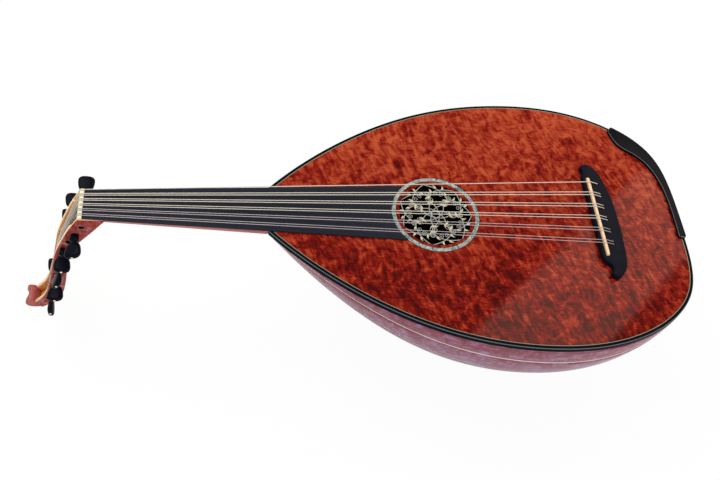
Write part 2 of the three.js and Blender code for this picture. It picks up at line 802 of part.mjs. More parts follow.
// Pegbox back, between the cheeks
const floorOutline = [...insideRun(backCurve, floorThickness), ...curveRun(backCurve).reverse()];
const floorTools = [neckSide, endSide(0, endFar), ...beyondCheeks(floorOutline)];
addPiece('pegbox_back', cutAll(sideProfile(floorOutline, pegboxTopHalfWidth), floorTools), redWood);

// Finial at the pegbox's end, hollowed between two lobes
const finialPath = new THREE.SplineCurve(finialShares.map(([along, down]) =>
  new THREE.Vector2(finialFront.x - along * finialLength, finialFront.y - down * finialDepth)));
const finialHollow = new THREE.CylinderGeometry(finialScoopRadius, finialScoopRadius, pegboxDrop, 2 * pegSides)
  .rotateX(Math.PI / 2)
  .translate(finialFront.x - finialLength + finialScoop - finialScoopRadius, 0, finialFront.y);
addPiece('finial', cutAll(
  sideProfile(finialPath.getPoints(finialSteps), finialHalfWidth),
  [endSide(gap, -endFar), finialHollow],
), redWood);

pegPlaces.forEach((place, i) => {
  addPiece(`peg_${String(i + 1).padStart(2, '0')}`, standPeg(pegGeometry(place, pegTurns[i]), place), ebony);
});

// Bridge: straight front, bowed back, a small hook at the bass end and a scooped ear at the treble end
const bridgeFront = scaleLength - bridgeLead;
const tieHoleX = scaleLength + tieHoleSetback;

function bridgeOutline() {
  const place = ([across, along], sign) => new THREE.Vector2(
    bridgeFront + across * bridgeDepth,
    bridgeMiddleY + sign * along * bridgeHalfLength,
  );
  const bassEnd = bridgeBassShares.map((share) => place(share, 1));
  const trebleEnd = bridgeTrebleShares.map((share) => place(share, -1)).reverse();
  return new THREE.SplineCurve([...bassEnd, ...trebleEnd]).getPoints(bridgeSteps);
}

const saddleSlot = block(
  [scaleLength - saddleThickness / 2 - gap, saddleMiddleY - saddleHalfLength - gap, slotLow],
  [scaleLength + saddleThickness / 2 + gap, saddleMiddleY + saddleHalfLength + gap, bridgeHeight + overrun],
);

// Strings: where each crosses the nut and the saddle
const strings = [];
stringRadii.forEach((radius, course) => {
  const pairSigns = course === 0 ? [0] : [1, -1];
  for (const sign of pairSigns) {
    strings.push({
      radius,
      nutY: bassNutY - course * courseNutPitch + (sign * pairNutPitch) / 2,
      saddleY: bassSaddleY - course * courseSaddlePitch + (sign * pairSaddlePitch) / 2,
    });
  }
});

const tieHoles = strings.map(({ saddleY }) => new THREE.CylinderGeometry(
  tieHoleRadius, tieHoleRadius, tieHoleDepth + overrun, 8,
).rotateX(Math.PI / 2).translate(tieHoleX, saddleY, bridgeHeight + (overrun - tieHoleDepth) / 2));
addPiece('bridge', cutAll(
  roundedPlate(bridgeOutline(), bridgeHeight, bridgeBevel),
  [saddleSlot, leadHole, ...tieHoles],
), ebony);

// Saddle with a rounded crest and rounded ends
const saddleShape = new THREE.Shape();
const saddleHeight = saddleTop - saddleLow;
const endRound = saddleHeight / 3;
saddleShape.moveTo(-saddleHalfLength, 0);
saddleShape.lineTo(saddleHalfLength, 0);
saddleShape.lineTo(saddleHalfLength, saddleHeight - endRound);
saddleShape.quadraticCurveTo(saddleHalfLength, saddleHeight, saddleHalfLength - endRound, saddleHeight);
saddleShape.lineTo(endRound - saddleHalfLength, saddleHeight);
saddleShape.quadraticCurveTo(-saddleHalfLength, saddleHeight, -saddleHalfLength, saddleHeight - endRound);
const saddleBody = new THREE.ExtrudeGeometry(saddleShape, { depth: saddleThickness, bevelEnabled: false, curveSegments: 4 })
  .rotateX(Math.PI / 2)
  .rotateZ(Math.PI / 2)
  .translate(scaleLength - saddleThickness / 2, saddleMiddleY, saddleLow);
addPiece('saddle', saddleBody, ivory);

const stripHalf = saddleHalfLength - 2 * leadRadius;
addPiece('pickup_strip', block(
  [scaleLength - saddleThickness / 2 + gap, saddleMiddleY - stripHalf, slotLow + gap],
  [scaleLength + saddleThickness / 2 - gap, saddleMiddleY + stripHalf, slotLow + gap + pickupThickness],
), steel);

// A route through given points, whose steps fall on the points themselves
class Route extends THREE.Curve {
  constructor(points) {
    super();
    this.points = points;
  }

  getPoint(t) {
    const place = t * (this.points.length - 1);
    const i = Math.min(Math.floor(place), this.points.length - 2);
    return this.points[i].clone().lerp(this.points[i + 1], place - i);
  }

  getPointAt(u) {
    return this.getPoint(u);
  }

  getTangentAt(u) {
    const i = Math.round(u * (this.points.length - 1));
    const before = this.points[Math.max(0, i - 1)];
    const after = this.points[Math.min(this.points.length - 1, i + 1)];
    const here = this.points[i];
    const arriving = here.clone().sub(before).normalize();
    const leaving = after.clone().sub(here).normalize();
    return arriving.add(leaving).normalize();
  }
}

function tube(points, radius, sides) {
  const section = new THREE.Shape(circlePoints(0, 0, radius, sides));
  return new THREE.ExtrudeGeometry(section, {
    steps: points.length - 1,
    extrudePath: new Route(points),
  });
}

// The outer strings go to the upper pegs, the middle ones to the lower pegs
const pegOrder = strings.map((_, i) => i).sort((a, b) => Math.abs(strings[b].nutY) - Math.abs(strings[a].nutY));

// A point in front of a peg's shaft, clear of it by the string's own thickness
function frontOf(place, radius) {
  const outwards = place.front.clone().sub(place.centre).normalize();
  return place.centre.clone().addScaledVector(outwards, pegShaftRadius + gap + stringWrapShare * radius);
}

// Keeps only the points that a taut string touches on the front of the pegs
function tautFront(points) {
  const kept = [];
  for (const point of points) {
    while (kept.length > 1) {
      const [a, b] = kept.slice(-2);
      const turn = (b.x - a.x) * (point.y - a.y) - (b.y - a.y) * (point.x - a.x);
      if (turn > 0) break;
      kept.pop();
    }
    kept.push(point);
  }
  return kept;
}

function stringGeometry(index) {
  const { radius, nutY, saddleY } = strings[index];
  const target = pegOrder.indexOf(index);
  const nutBack = new THREE.Vector2(-nutLength, nutHeight + radius);
  const inBox = tautFront([nutBack, ...pegPlaces.slice(0, target + 1).map((place) => frontOf(place, radius))]);
  const end = inBox.at(-1);
  const endY = nutY * (pegboxHalfAt(end.y) - cheekThickness) / (pegboxTopHalfWidth - cheekThickness / 2);
  const run = inBox.map((point) => {
    const share = (nutBack.y - point.y) / (nutBack.y - end.y);
    return new THREE.Vector3(point.x, nutY + (endY - nutY) * share, point.y);
  }).reverse();
  const overNut = new THREE.Vector3(-nutLength / 2, nutY, nutHeight + gap + radius);
  run[run.length - 1] = new THREE.Vector3(-nutLength - radius, nutY, nutHeight + radius / 2);
  const crest = saddleTop + gap + radius;
  const slope = (crest - overNut.z) / scaleLength;
  run.push(overNut);
  run.push(new THREE.Vector3(scaleLength - saddleThickness / 2, saddleY, crest - slope * saddleThickness / 2));
  run.push(new THREE.Vector3(scaleLength + saddleThickness / 2 + gap, saddleY, crest));
  run.push(new THREE.Vector3(tieHoleX - radius, saddleY, bridgeHeight + radius));
  run.push(new THREE.Vector3(tieHoleX, saddleY, bridgeHeight - tieHoleDepth + 2 * gap));
  return tube(run, radius, stringSides);
}

strings.forEach((_, i) => {
  addPiece(`string_${String(i + 1).padStart(2, '0')}`, stringGeometry(i), nylon);
});

// Armrest: follows the tail's edge, with a wide rounded lobe at its upper end
const armrestStartX = bodyStart + armrestStartShare * bodyLength;
const armrestEndY = armrestEndShare * bodyHalfWidth;
const armrestTop = outlineAt(firstWhere((t) => outlineAt(t).x > armrestStartX, widestT, 1));
const armrestWidths = new THREE.SplineCurve(armrestWidthShares.map(([along, width]) =>
  new THREE.Vector2(along, width * armrestLobeWidth)));

function armrestEdge(share) {
  const y = armrestTop.y + share * (armrestEndY - armrestTop.y);
  const t = firstWhere((u) => outlineAt(u).y < Math.abs(y), widestT, 1);
  const place = outlineAt(t);
  const normal = outlineNormal(t);
  const side = y < 0 ? -1 : 1;
  return { place: new THREE.Vector2(place.x, side * place.y), normal: new THREE.Vector2(normal.x, side * normal.y) };
}

function armrestOutline() {
  const outer = [];
  const inner = [];
  for (let i = 0; i <= armrestSteps; i += 1) {
    const { x: share, y: width } = armrestWidths.getPointAt(i / armrestSteps);
    const { place, normal } = armrestEdge(Math.min(share, 1));
    outer.push(place.clone().addScaledVector(normal, -armrestInset));
    inner.unshift(place.clone().addScaledVector(normal, -armrestInset - width));
  }
  return [...outer, ...inner];
}

addPiece('armrest', roundedPlate(armrestOutline(), armrestHeight, armrestBevel), ebony);

// Neck block: fills the bowl's narrow end under the soundboard
const blockInset = ribThickness + gap;
const neckBlockT = firstWhere((t) => outlineAt(t).x > joint.x + neckBlockLength, jointT, widestT);
const blockTop = boardLow - gap;
const blockRings = [];
for (let i = 0; i <= blockStations; i += 1) {
  const t = jointT + ((neckBlockT - jointT) * i) / blockStations;
  blockRings.push(seams.map((girth) => {
    const point = bowlInside(t, girth, blockInset + gap);
    point.z = Math.min(point.z, blockTop);
    return point;
  }));
}
for (const ring of blockRings) {
  const half = ring[0].y - bindingWidth;
  ring[0].y = half;
  ring.at(-1).y = -half;
}
addPiece('neck_block', loft(blockRings), spruce);

// Tail block, tail clasp and the output jack through both
const claspX = outlineAt(claspT).x;
const claspDepth = -bowlPoint(claspT, 1).z;
const jackZ = -jackDropShare * claspDepth;

// Half an ellipse below a level, in y and z, swept along +X
function halfRound(half, top, bottom, fromX, length) {
  const shape = new THREE.Shape();
  const steps = 14;
  shape.moveTo(half, top);
  for (let i = 1; i <= steps; i += 1) {
    const angle = (Math.PI * i) / steps;
    shape.lineTo(half * Math.cos(angle), top - (top - bottom) * Math.sin(angle));
  }
  const solid = new THREE.ExtrudeGeometry(shape, { depth: length, bevelEnabled: false });
  return solid.rotateX(Math.PI / 2).rotateZ(Math.PI / 2).translate(fromX, 0, 0);
}

const tailBore = new THREE.CylinderGeometry(jackRadius + gap, jackRadius + gap, 3 * tailBlockLength, jackSides)
  .rotateZ(Math.PI / 2)
  .translate(claspX, 0, jackZ);
const tailBlock = halfRound(
  claspHalfWidth - 2 * ribThickness,
  -bindingHeight - gap,
  -claspDepth + 2 * ribThickness,
  claspX - tailBlockLength,
  tailBlockLength,
);
const claspFront = tailX + gap;
addPiece('tail_block', cutAll(tailBlock, [tailBore]), spruce);
addPiece('tail_clasp', cutAll(
  halfRound(claspHalfWidth + ribThickness, -bindingHeight, -claspDepth - claspOverlap, claspFront, claspThickness),
  [tailBore],
), redWood);

const jackFace = claspFront + claspThickness + gap;
const jackProfile = [
  [0, -jackLength], [jackRadius, -jackLength], [jackRadius, 0], [jackCollarRadius, 0],
  [jackCollarRadius, jackCollarLength / 2], [jackCollarRadius - jackCollarLength / 2, jackCollarLength],
  [jackBoreRadius, jackCollarLength], [jackBoreRadius, jackFloor - jackLength], [0, jackFloor - jackLength],
].map(([radius, along]) => new THREE.Vector2(radius, along));
const jackBody = new THREE.LatheGeometry(jackProfile, jackSides)
  .rotateZ(-Math.PI / 2)
  .translate(jackFace, 0, jackZ);
addPiece('output_jack', jackBody, steel);

// Pickup lead, from the strip down through the top and along to the jack
const leadEnd = jackFace - jackLength - gap;
const leadDrop = boardLow - 3 * overrun;
const leadRun = new THREE.CatmullRomCurve3([
  new THREE.Vector3(scaleLength, leadY, slotLow - gap),
  new THREE.Vector3(scaleLength, leadY, boardLow - overrun),
  new THREE.Vector3(scaleLength + overrun, leadY, leadDrop),
  new THREE.Vector3((scaleLength + leadEnd) / 2, leadY / 2, leadDrop + jackZ / 4),
  new THREE.Vector3(leadEnd - 2 * overrun, 0, jackZ),
  new THREE.Vector3(leadEnd, 0, jackZ),
]);
const leadSection = new THREE.Shape(circlePoints(0, 0, leadRadius, 8));
addPiece('pickup_lead', new THREE.ExtrudeGeometry(leadSection, { steps: 16, extrudePath: leadRun }), cable);

// Soundboard bars, scalloped at the ends
function soundBar(x) {
  const faces = [x - barWidth / 2, x + barWidth / 2];
  const halves = faces.map((face) => outlineAt(firstWhere((u) => outlineAt(u).x > face, jointT, 1)).y);
  const half = Math.min(...halves) - bindingWidth - ribThickness;
  const shape = new THREE.Shape([
    new THREE.Vector2(-half, 0),
    new THREE.Vector2(-half, -barEndHeight),
    new THREE.Vector2(barScallop - half, -barHeight),
    new THREE.Vector2(half - barScallop, -barHeight),
    new THREE.Vector2(half, -barEndHeight),
    new THREE.Vector2(half, 0),
  ]);
  return new THREE.ExtrudeGeometry(shape, { depth: barWidth, bevelEnabled: false })
    .rotateX(Math.PI / 2)
    .rotateZ(Math.PI / 2)
    .translate(x - barWidth / 2, 0, boardLow);
}

barPlaceShares.forEach((share, i) => {
  addPiece(`sound_bar_${i + 1}`, soundBar(bodyStart + share * bodyLength), spruce);
});

oud.position.set(-landX, 0, -landZ);

export default oud;
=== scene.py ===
"""Electric oud: a staved, red-topped lute dressed for a studio picture on its parts' frame."""

import json
import logging
from dataclasses import dataclass, field
from enum import Enum
from functools import partialmethod
from math import atan2, copysign, cos, hypot, pi, radians, sin, sqrt
from typing import Callable, Iterable, Sequence

import bmesh
import bpy
from mathutils import Matrix, Vector

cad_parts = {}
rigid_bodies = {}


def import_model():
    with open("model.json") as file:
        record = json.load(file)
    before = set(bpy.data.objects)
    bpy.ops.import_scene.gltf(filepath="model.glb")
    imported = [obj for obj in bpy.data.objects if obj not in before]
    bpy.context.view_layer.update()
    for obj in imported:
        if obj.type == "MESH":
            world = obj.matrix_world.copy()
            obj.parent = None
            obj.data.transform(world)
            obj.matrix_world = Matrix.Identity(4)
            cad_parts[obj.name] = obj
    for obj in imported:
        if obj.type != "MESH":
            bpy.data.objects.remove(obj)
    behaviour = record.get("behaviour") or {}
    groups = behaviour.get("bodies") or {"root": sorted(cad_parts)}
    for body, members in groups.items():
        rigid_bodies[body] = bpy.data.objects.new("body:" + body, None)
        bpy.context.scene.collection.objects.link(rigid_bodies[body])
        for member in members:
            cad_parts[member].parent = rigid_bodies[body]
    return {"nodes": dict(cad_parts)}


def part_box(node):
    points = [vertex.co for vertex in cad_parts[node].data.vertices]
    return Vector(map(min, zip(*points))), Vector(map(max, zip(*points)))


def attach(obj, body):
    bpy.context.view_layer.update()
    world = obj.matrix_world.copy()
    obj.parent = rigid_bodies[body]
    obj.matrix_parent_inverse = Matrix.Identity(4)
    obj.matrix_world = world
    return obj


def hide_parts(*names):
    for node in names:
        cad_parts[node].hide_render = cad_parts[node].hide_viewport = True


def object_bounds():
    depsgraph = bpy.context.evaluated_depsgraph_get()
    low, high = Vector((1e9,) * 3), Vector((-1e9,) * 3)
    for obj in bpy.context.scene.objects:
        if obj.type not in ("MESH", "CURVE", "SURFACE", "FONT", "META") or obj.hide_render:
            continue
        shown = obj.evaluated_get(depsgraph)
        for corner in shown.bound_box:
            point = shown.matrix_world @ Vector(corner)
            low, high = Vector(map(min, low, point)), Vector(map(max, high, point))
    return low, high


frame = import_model()
cad_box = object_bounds()

MM = 0.001
MERGE_REACH = 1e-6
INSTRUMENT = "instrument"
STRING_COUNT = 11
RIB_COUNT = 13
Triple = tuple[float, float, float]
Colour = Triple
Pair = tuple[float, float]
Pairs = Sequence[Pair]
Stops = Sequence[tuple[float, Colour]]
BMesh = bmesh.types.BMesh
Socket = bpy.types.NodeSocket
Thing = bpy.types.Object
log = logging.getLogger("oud")


def numbered(stem: str, count: int) -> list[str]:
    """The names stem_01, stem_02 and so on."""
    return [f"{stem}_{i + 1:02d}" for i in range(count)]


def held(point: Vector) -> Vector:
    """The point, moved inside the solids' own box where a finer curve would bulge past it."""
    return Vector([min(max(value, low), high) for value, low, high in zip(point, *cad_box)])


def linear(colour: Colour) -> tuple[float, ...]:
    """A screen colour as the linear colour that a shader takes.

    Args:
        colour: Its channels, 0 to 255.

    Returns:
        The linear colour with an alpha of 1.
    """
    full, toe, offset, power, slope = 255, 0.04045, 0.055, 2.4, 12.92

    def channel(share: float) -> float:
        """A channel, 0 to 1, made linear."""
        return share / slope if share <= toe else ((share + offset) / (1 + offset)) ** power

    return (*(channel(value / full) for value in colour), 1.0)


class Signal:
    """A number that changes over a surface, with plain arithmetic that adds Math nodes."""

    def __init__(self, tree: "Tree", socket: Socket) -> None:
        """Keeps the tree and the output socket that carries the number."""
        self.tree = tree
        self.socket = socket

    def _math(self, operation: str, other: object, swapped: bool = False) -> "Signal":
        """One Math node on this number and another, which comes first if swapped."""
        inputs = {0: other, 1: self} if swapped else {0: self, 1: other}
        return Signal(self.tree, self.tree.node("Math", inputs, operation=operation).outputs[0])

    __add__ = __radd__ = partialmethod(_math, "ADD")
    __sub__ = partialmethod(_math, "SUBTRACT")
    __rsub__ = partialmethod(_math, "SUBTRACT", swapped=True)
    __mul__ = __rmul__ = partialmethod(_math, "MULTIPLY")
    __lt__ = partialmethod(_math, "LESS_THAN")

    def clamped(self) -> "Signal":
        """The number held between 0 and 1."""
        return self._math("MAXIMUM", 0.0)._math("MINIMUM", 1.0)


class Tree:
    """A node tree, built a node at a time."""

    def __init__(self, owner: bpy.types.Material | bpy.types.World) -> None:
        """Starts with the owner's tree, emptied.

        Args:
            owner: The material or the world.
        """
        owner.use_nodes = True
        self.tree = owner.node_tree
        self.tree.nodes.clear()

    def plug(self, target: Socket, value: object) -> None:
        """Feeds an input.

        Args:
            target: The input.
            value: A signal, a socket to link or a plain value.
        """
        source = value.socket if isinstance(value, Signal) else value
        if isinstance(source, Socket):
            self.tree.links.new(source, target)
        else:
            target.default_value = source

    def node(self, kind: str, sockets: dict | None = None, **settings: object) -> bpy.types.Node:
        """Adds one node.

        Args:
            kind: The shader node's type.
            sockets: Values or links by input name or number.
            settings: Its own options, such as an operation, or stops for a colour ramp.

        Returns:
            The new node.
        """
        made = self.tree.nodes.new("ShaderNode" + kind)
        for name, value in settings.items():
            if name != "stops":
                setattr(made, name, value)
                continue
            ramp = made.color_ramp.elements
            while len(ramp) < len(value):
                ramp.new(1.0)
            for element, (place, colour) in zip(ramp, value):
                element.position, element.color = place, linear(colour)
        for key, value in (sockets or {}).items():
            self.plug(made.inputs[key], value)
        return made


class Shader(Tree):
    """One material: a Principled shader and what feeds it."""

    def __init__(self, title: str) -> None:
        """Starts a material with only a Principled shader and its output.

        Args:
            title: The material's name.
        """
        self.material = bpy.data.materials.new(title)
        super().__init__(self.material)
        self.surface = self.node("BsdfPrincipled")
        self.output = self.node("OutputMaterial", {"Surface": self.surface.outputs[0]})
        self.place = self.node("TexCoord").outputs["Object"]

    def spread(self, scale: Triple, turn: float = 0.0, place: Socket | None = None) -> Socket:
        """A place measured along axes turned about Z, each multiplied by its scale.

        Args:
            scale: Multiplies the place along each turned axis.
            turn: Angle of the first axis, in radians.
            place: The place, or the one on the object where none is given.

        Returns:
            The new place.
        """
        sizes = tuple(1 / value for value in scale)
        return self.node("Mapping", {"Vector": place or self.place, "Rotation": (0.0, 0.0, turn),
                                     "Scale": sizes}, vector_type="TEXTURE").outputs[0]

    def warped(self, scale: float, reach: float) -> Socket:
        """The place on the object, pushed about by a soft cloud.

        Args:
            scale: The cloud's scale.
            reach: How far it pushes at most, in metres.

        Returns:
            The new place.
        """
        cloud = self.node("TexNoise", {"Vector": self.place, "Scale": scale})
        shift = self.node("VectorMath", {0: cloud.outputs[1], "Scale": reach}, operation="SCALE")
        moved_place = self.node("VectorMath", {0: self.place, 1: shift.outputs[0]}, operation="ADD")
        return moved_place.outputs[0]

    def noise(self, place: Socket, scale: float, detail: float = 3.0,
              distortion: float = 0.0) -> Signal:
        """A soft cloud.

        Args:
            place: Where it is sampled.
            scale: Its scale.
            detail: How many finer clouds it holds.
            distortion: How much it swirls.

        Returns:
            Its value, around 0.5.
        """
        cloud = self.node("TexNoise", {
            "Vector": place, "Scale": scale, "Detail": detail, "Distortion": distortion})
        return Signal(self, cloud.outputs[0])

    def ramp(self, factor: Signal, stops: Stops) -> Socket:
        """A number turned into a colour."""
        return self.node("ValToRGB", {0: factor}, stops=stops).outputs[0]

    def mix(self, factor: object, first: object, second: object) -> Socket:
        """Two colours mixed by a factor."""
        return self.node("Mix", {0: factor, 6: first, 7: second}, data_type="RGBA").outputs[2]

    def feed(self, **sockets: object) -> None:
        """Gives the Principled shader's sockets their values or links, with _ for a space."""
        for key, value in sockets.items():
            self.plug(self.surface.inputs[key.replace("_", " ")], value)


@dataclass(frozen=True)
class Finish:
    """A plain finish: one colour with a little life in it."""

    title: str
    colour: Colour | Stops
    roughness: float = 0.4
    metallic: float = 0.0
    coat: float = 0.0
    coat_roughness: float = 0.06
    specular: float = 0.5
    unevenness: float = 0.08
    grain_scale: float = 90.0

    def dimmed(self, share: float) -> tuple[float, ...]:
        """A share of the finish's colour, as a shader takes it."""
        return linear(tuple(channel * share for channel in self.colour))

    def paint(self, shader: Shader) -> Socket:
        """The colour, mixed with a slightly darker one by a soft cloud."""
        cloud = shader.noise(shader.place, self.grain_scale)
        return shader.mix(cloud, self.dimmed(1 - self.unevenness), linear(self.colour))

    def material(self) -> bpy.types.Material:
        """The finish as a material, made once and then shared.

        Returns:
            The material.
        """
        known = bpy.data.materials.get(self.title)
        if known is not None:
            return known
        shader = Shader(self.title)
        shader.feed(Roughness=self.roughness, Metallic=self.metallic, Coat_Weight=self.coat,
                    Coat_Roughness=self.coat_roughness, Specular_IOR_Level=self.specular,
                    Base_Color=self.paint(shader))
        return shader.material


@dataclass(frozen=True)
class Burl(Finish):
    """Stained quilted wood under gloss: short dark ripples across the grain, among blotches, with a
    painted light gradient.
    """

    warp_scale: float = 26.0
    warp_reach: float = 0.016
    ripple_scale: Triple = (64.0, 230.0, 64.0)
    ripple_turn: float = radians(-72)
    blotch_scale: float = 95.0
    blotches_per_cloud: float = 6.0
    fibre_scale: Triple = (160.0, 900.0, 160.0)
    weights: tuple[float, ...] = (0.32, 0.38, 0.18, 0.12)
    # The direction in which the figure turns lighter: painted light, where the lamps and
    # reflections fall.
    slope: Triple = (0.0, 0.4, 0.0)
    lift: float = 0.0

    def paint(self, shader: Shader) -> Socket:
        """Ripples, blotches, fibres and clouds over each other, made lighter up the slope by
        painted light.

        Args:
            shader: The material's shader.

        Returns:
            The base colour.
        """
        place = shader.warped(self.warp_scale, self.warp_reach)
        rippled = shader.spread(self.ripple_scale, self.ripple_turn, place)
        layers = (shader.noise(rippled, 1.0, detail=2.5, distortion=0.5),
                  shader.noise(place, self.blotch_scale, detail=4.0, distortion=0.8),
                  shader.noise(shader.spread(self.fibre_scale), 1.0, detail=2.0),
                  shader.noise(place, self.blotch_scale / self.blotches_per_cloud, detail=2.0))
        # Painted light: a gradient along the slope.
        painted_light_gradient = shader.node("VectorMath", {0: shader.place, 1: self.slope}, operation="DOT_PRODUCT")
        figure = sum(layer * weight for layer, weight in zip(layers, self.weights)) + self.lift
        return shader.ramp(figure + painted_light_gradient.outputs["Value"], self.colour)


@dataclass(frozen=True)
class Grain(Finish):
    """Straight-grained wood: long streaks that run along the instrument."""

    streak: Colour = (90, 40, 30)
    stretch: Triple = (0.06, 1.0, 1.0)
    streak_scale: float = 260.0
    contrast: float = 0.55
    broad_share: float = 0.6
    threshold: float = 0.42
    steepness: float = 4.0

    def paint(self, shader: Shader) -> Socket:
        """Long dark streaks and fine pores.

        Args:
            shader: The material's shader.

        Returns:
            The base colour.
        """
        along = shader.spread(self.stretch)
        broad = shader.noise(along, self.streak_scale / 4, distortion=0.4)
        fine = shader.noise(along, self.streak_scale * 2, detail=4.0)
        both = broad * self.broad_share + fine * (1 - self.broad_share)
        streaks = ((both - self.threshold) * self.steepness).clamped()
        return shader.mix(streaks * self.contrast, linear(self.colour), linear(self.streak))


@dataclass(frozen=True)
class Shell(Finish):
    """Abalone: a mosaic of shifting blues, greens and pinks with thin dark joints."""

    tile_scale: float = 190.0
    ripples_per_tile: float = 1.6
    ripple_weight: float = 0.7
    jump_weight: float = 0.45
    shift: float = 0.06
    joint_width: float = 0.035
    joint_share: float = 0.75
    joint_colour: Colour = (24, 30, 34)

    def paint(self, shader: Shader) -> Socket:
        """Tiles that each have their own part of a rippled rainbow.

        Args:
            shader: The material's shader.

        Returns:
            The base colour.
        """
        tile, rim = (shader.node("TexVoronoi", {"Vector": shader.place, "Scale": self.tile_scale},
                                 feature=feature) for feature in ("F1", "DISTANCE_TO_EDGE"))
        jump = shader.node("SeparateColor", {0: tile.outputs["Color"]}).outputs[0]
        ripple = shader.noise(shader.place, self.tile_scale * self.ripples_per_tile, distortion=2.5)
        hue = ripple * self.ripple_weight + Signal(shader, jump) * self.jump_weight - self.shift
        joints = (Signal(shader, rim.outputs["Distance"]) < self.joint_width) * self.joint_share
        rainbow = shader.ramp(hue.clamped(), self.colour)
        return shader.mix(joints, rainbow, linear(self.joint_colour))


@dataclass(frozen=True)
class Winding(Finish):
    """Wire wound round a core: fine rings of painted shade across the string."""

    turns_per_metre: float = 1500.0
    groove_shade_weight: float = 0.35
    groove_shade_share: float = 0.6

    def paint(self, shader: Shader) -> Socket:
        """The wire, with painted shade in the grooves between turns.

        Args:
            shader: The material's shader.

        Returns:
            The base colour.
        """
        along = shader.node("SeparateXYZ", {0: shader.place}).outputs[0]
        phase = Signal(shader, along) * (2 * pi * self.turns_per_metre)
        rings = shader.node("Math", {0: phase}, operation="SINE").outputs[0]
        # Painted shade: darker where the grooves between turns fall.
        shade = (Signal(shader, rings) * 0.5 + 0.5) * self.groove_shade_weight
        return shader.mix(shade, linear(self.colour), self.dimmed(self.groove_shade_share))


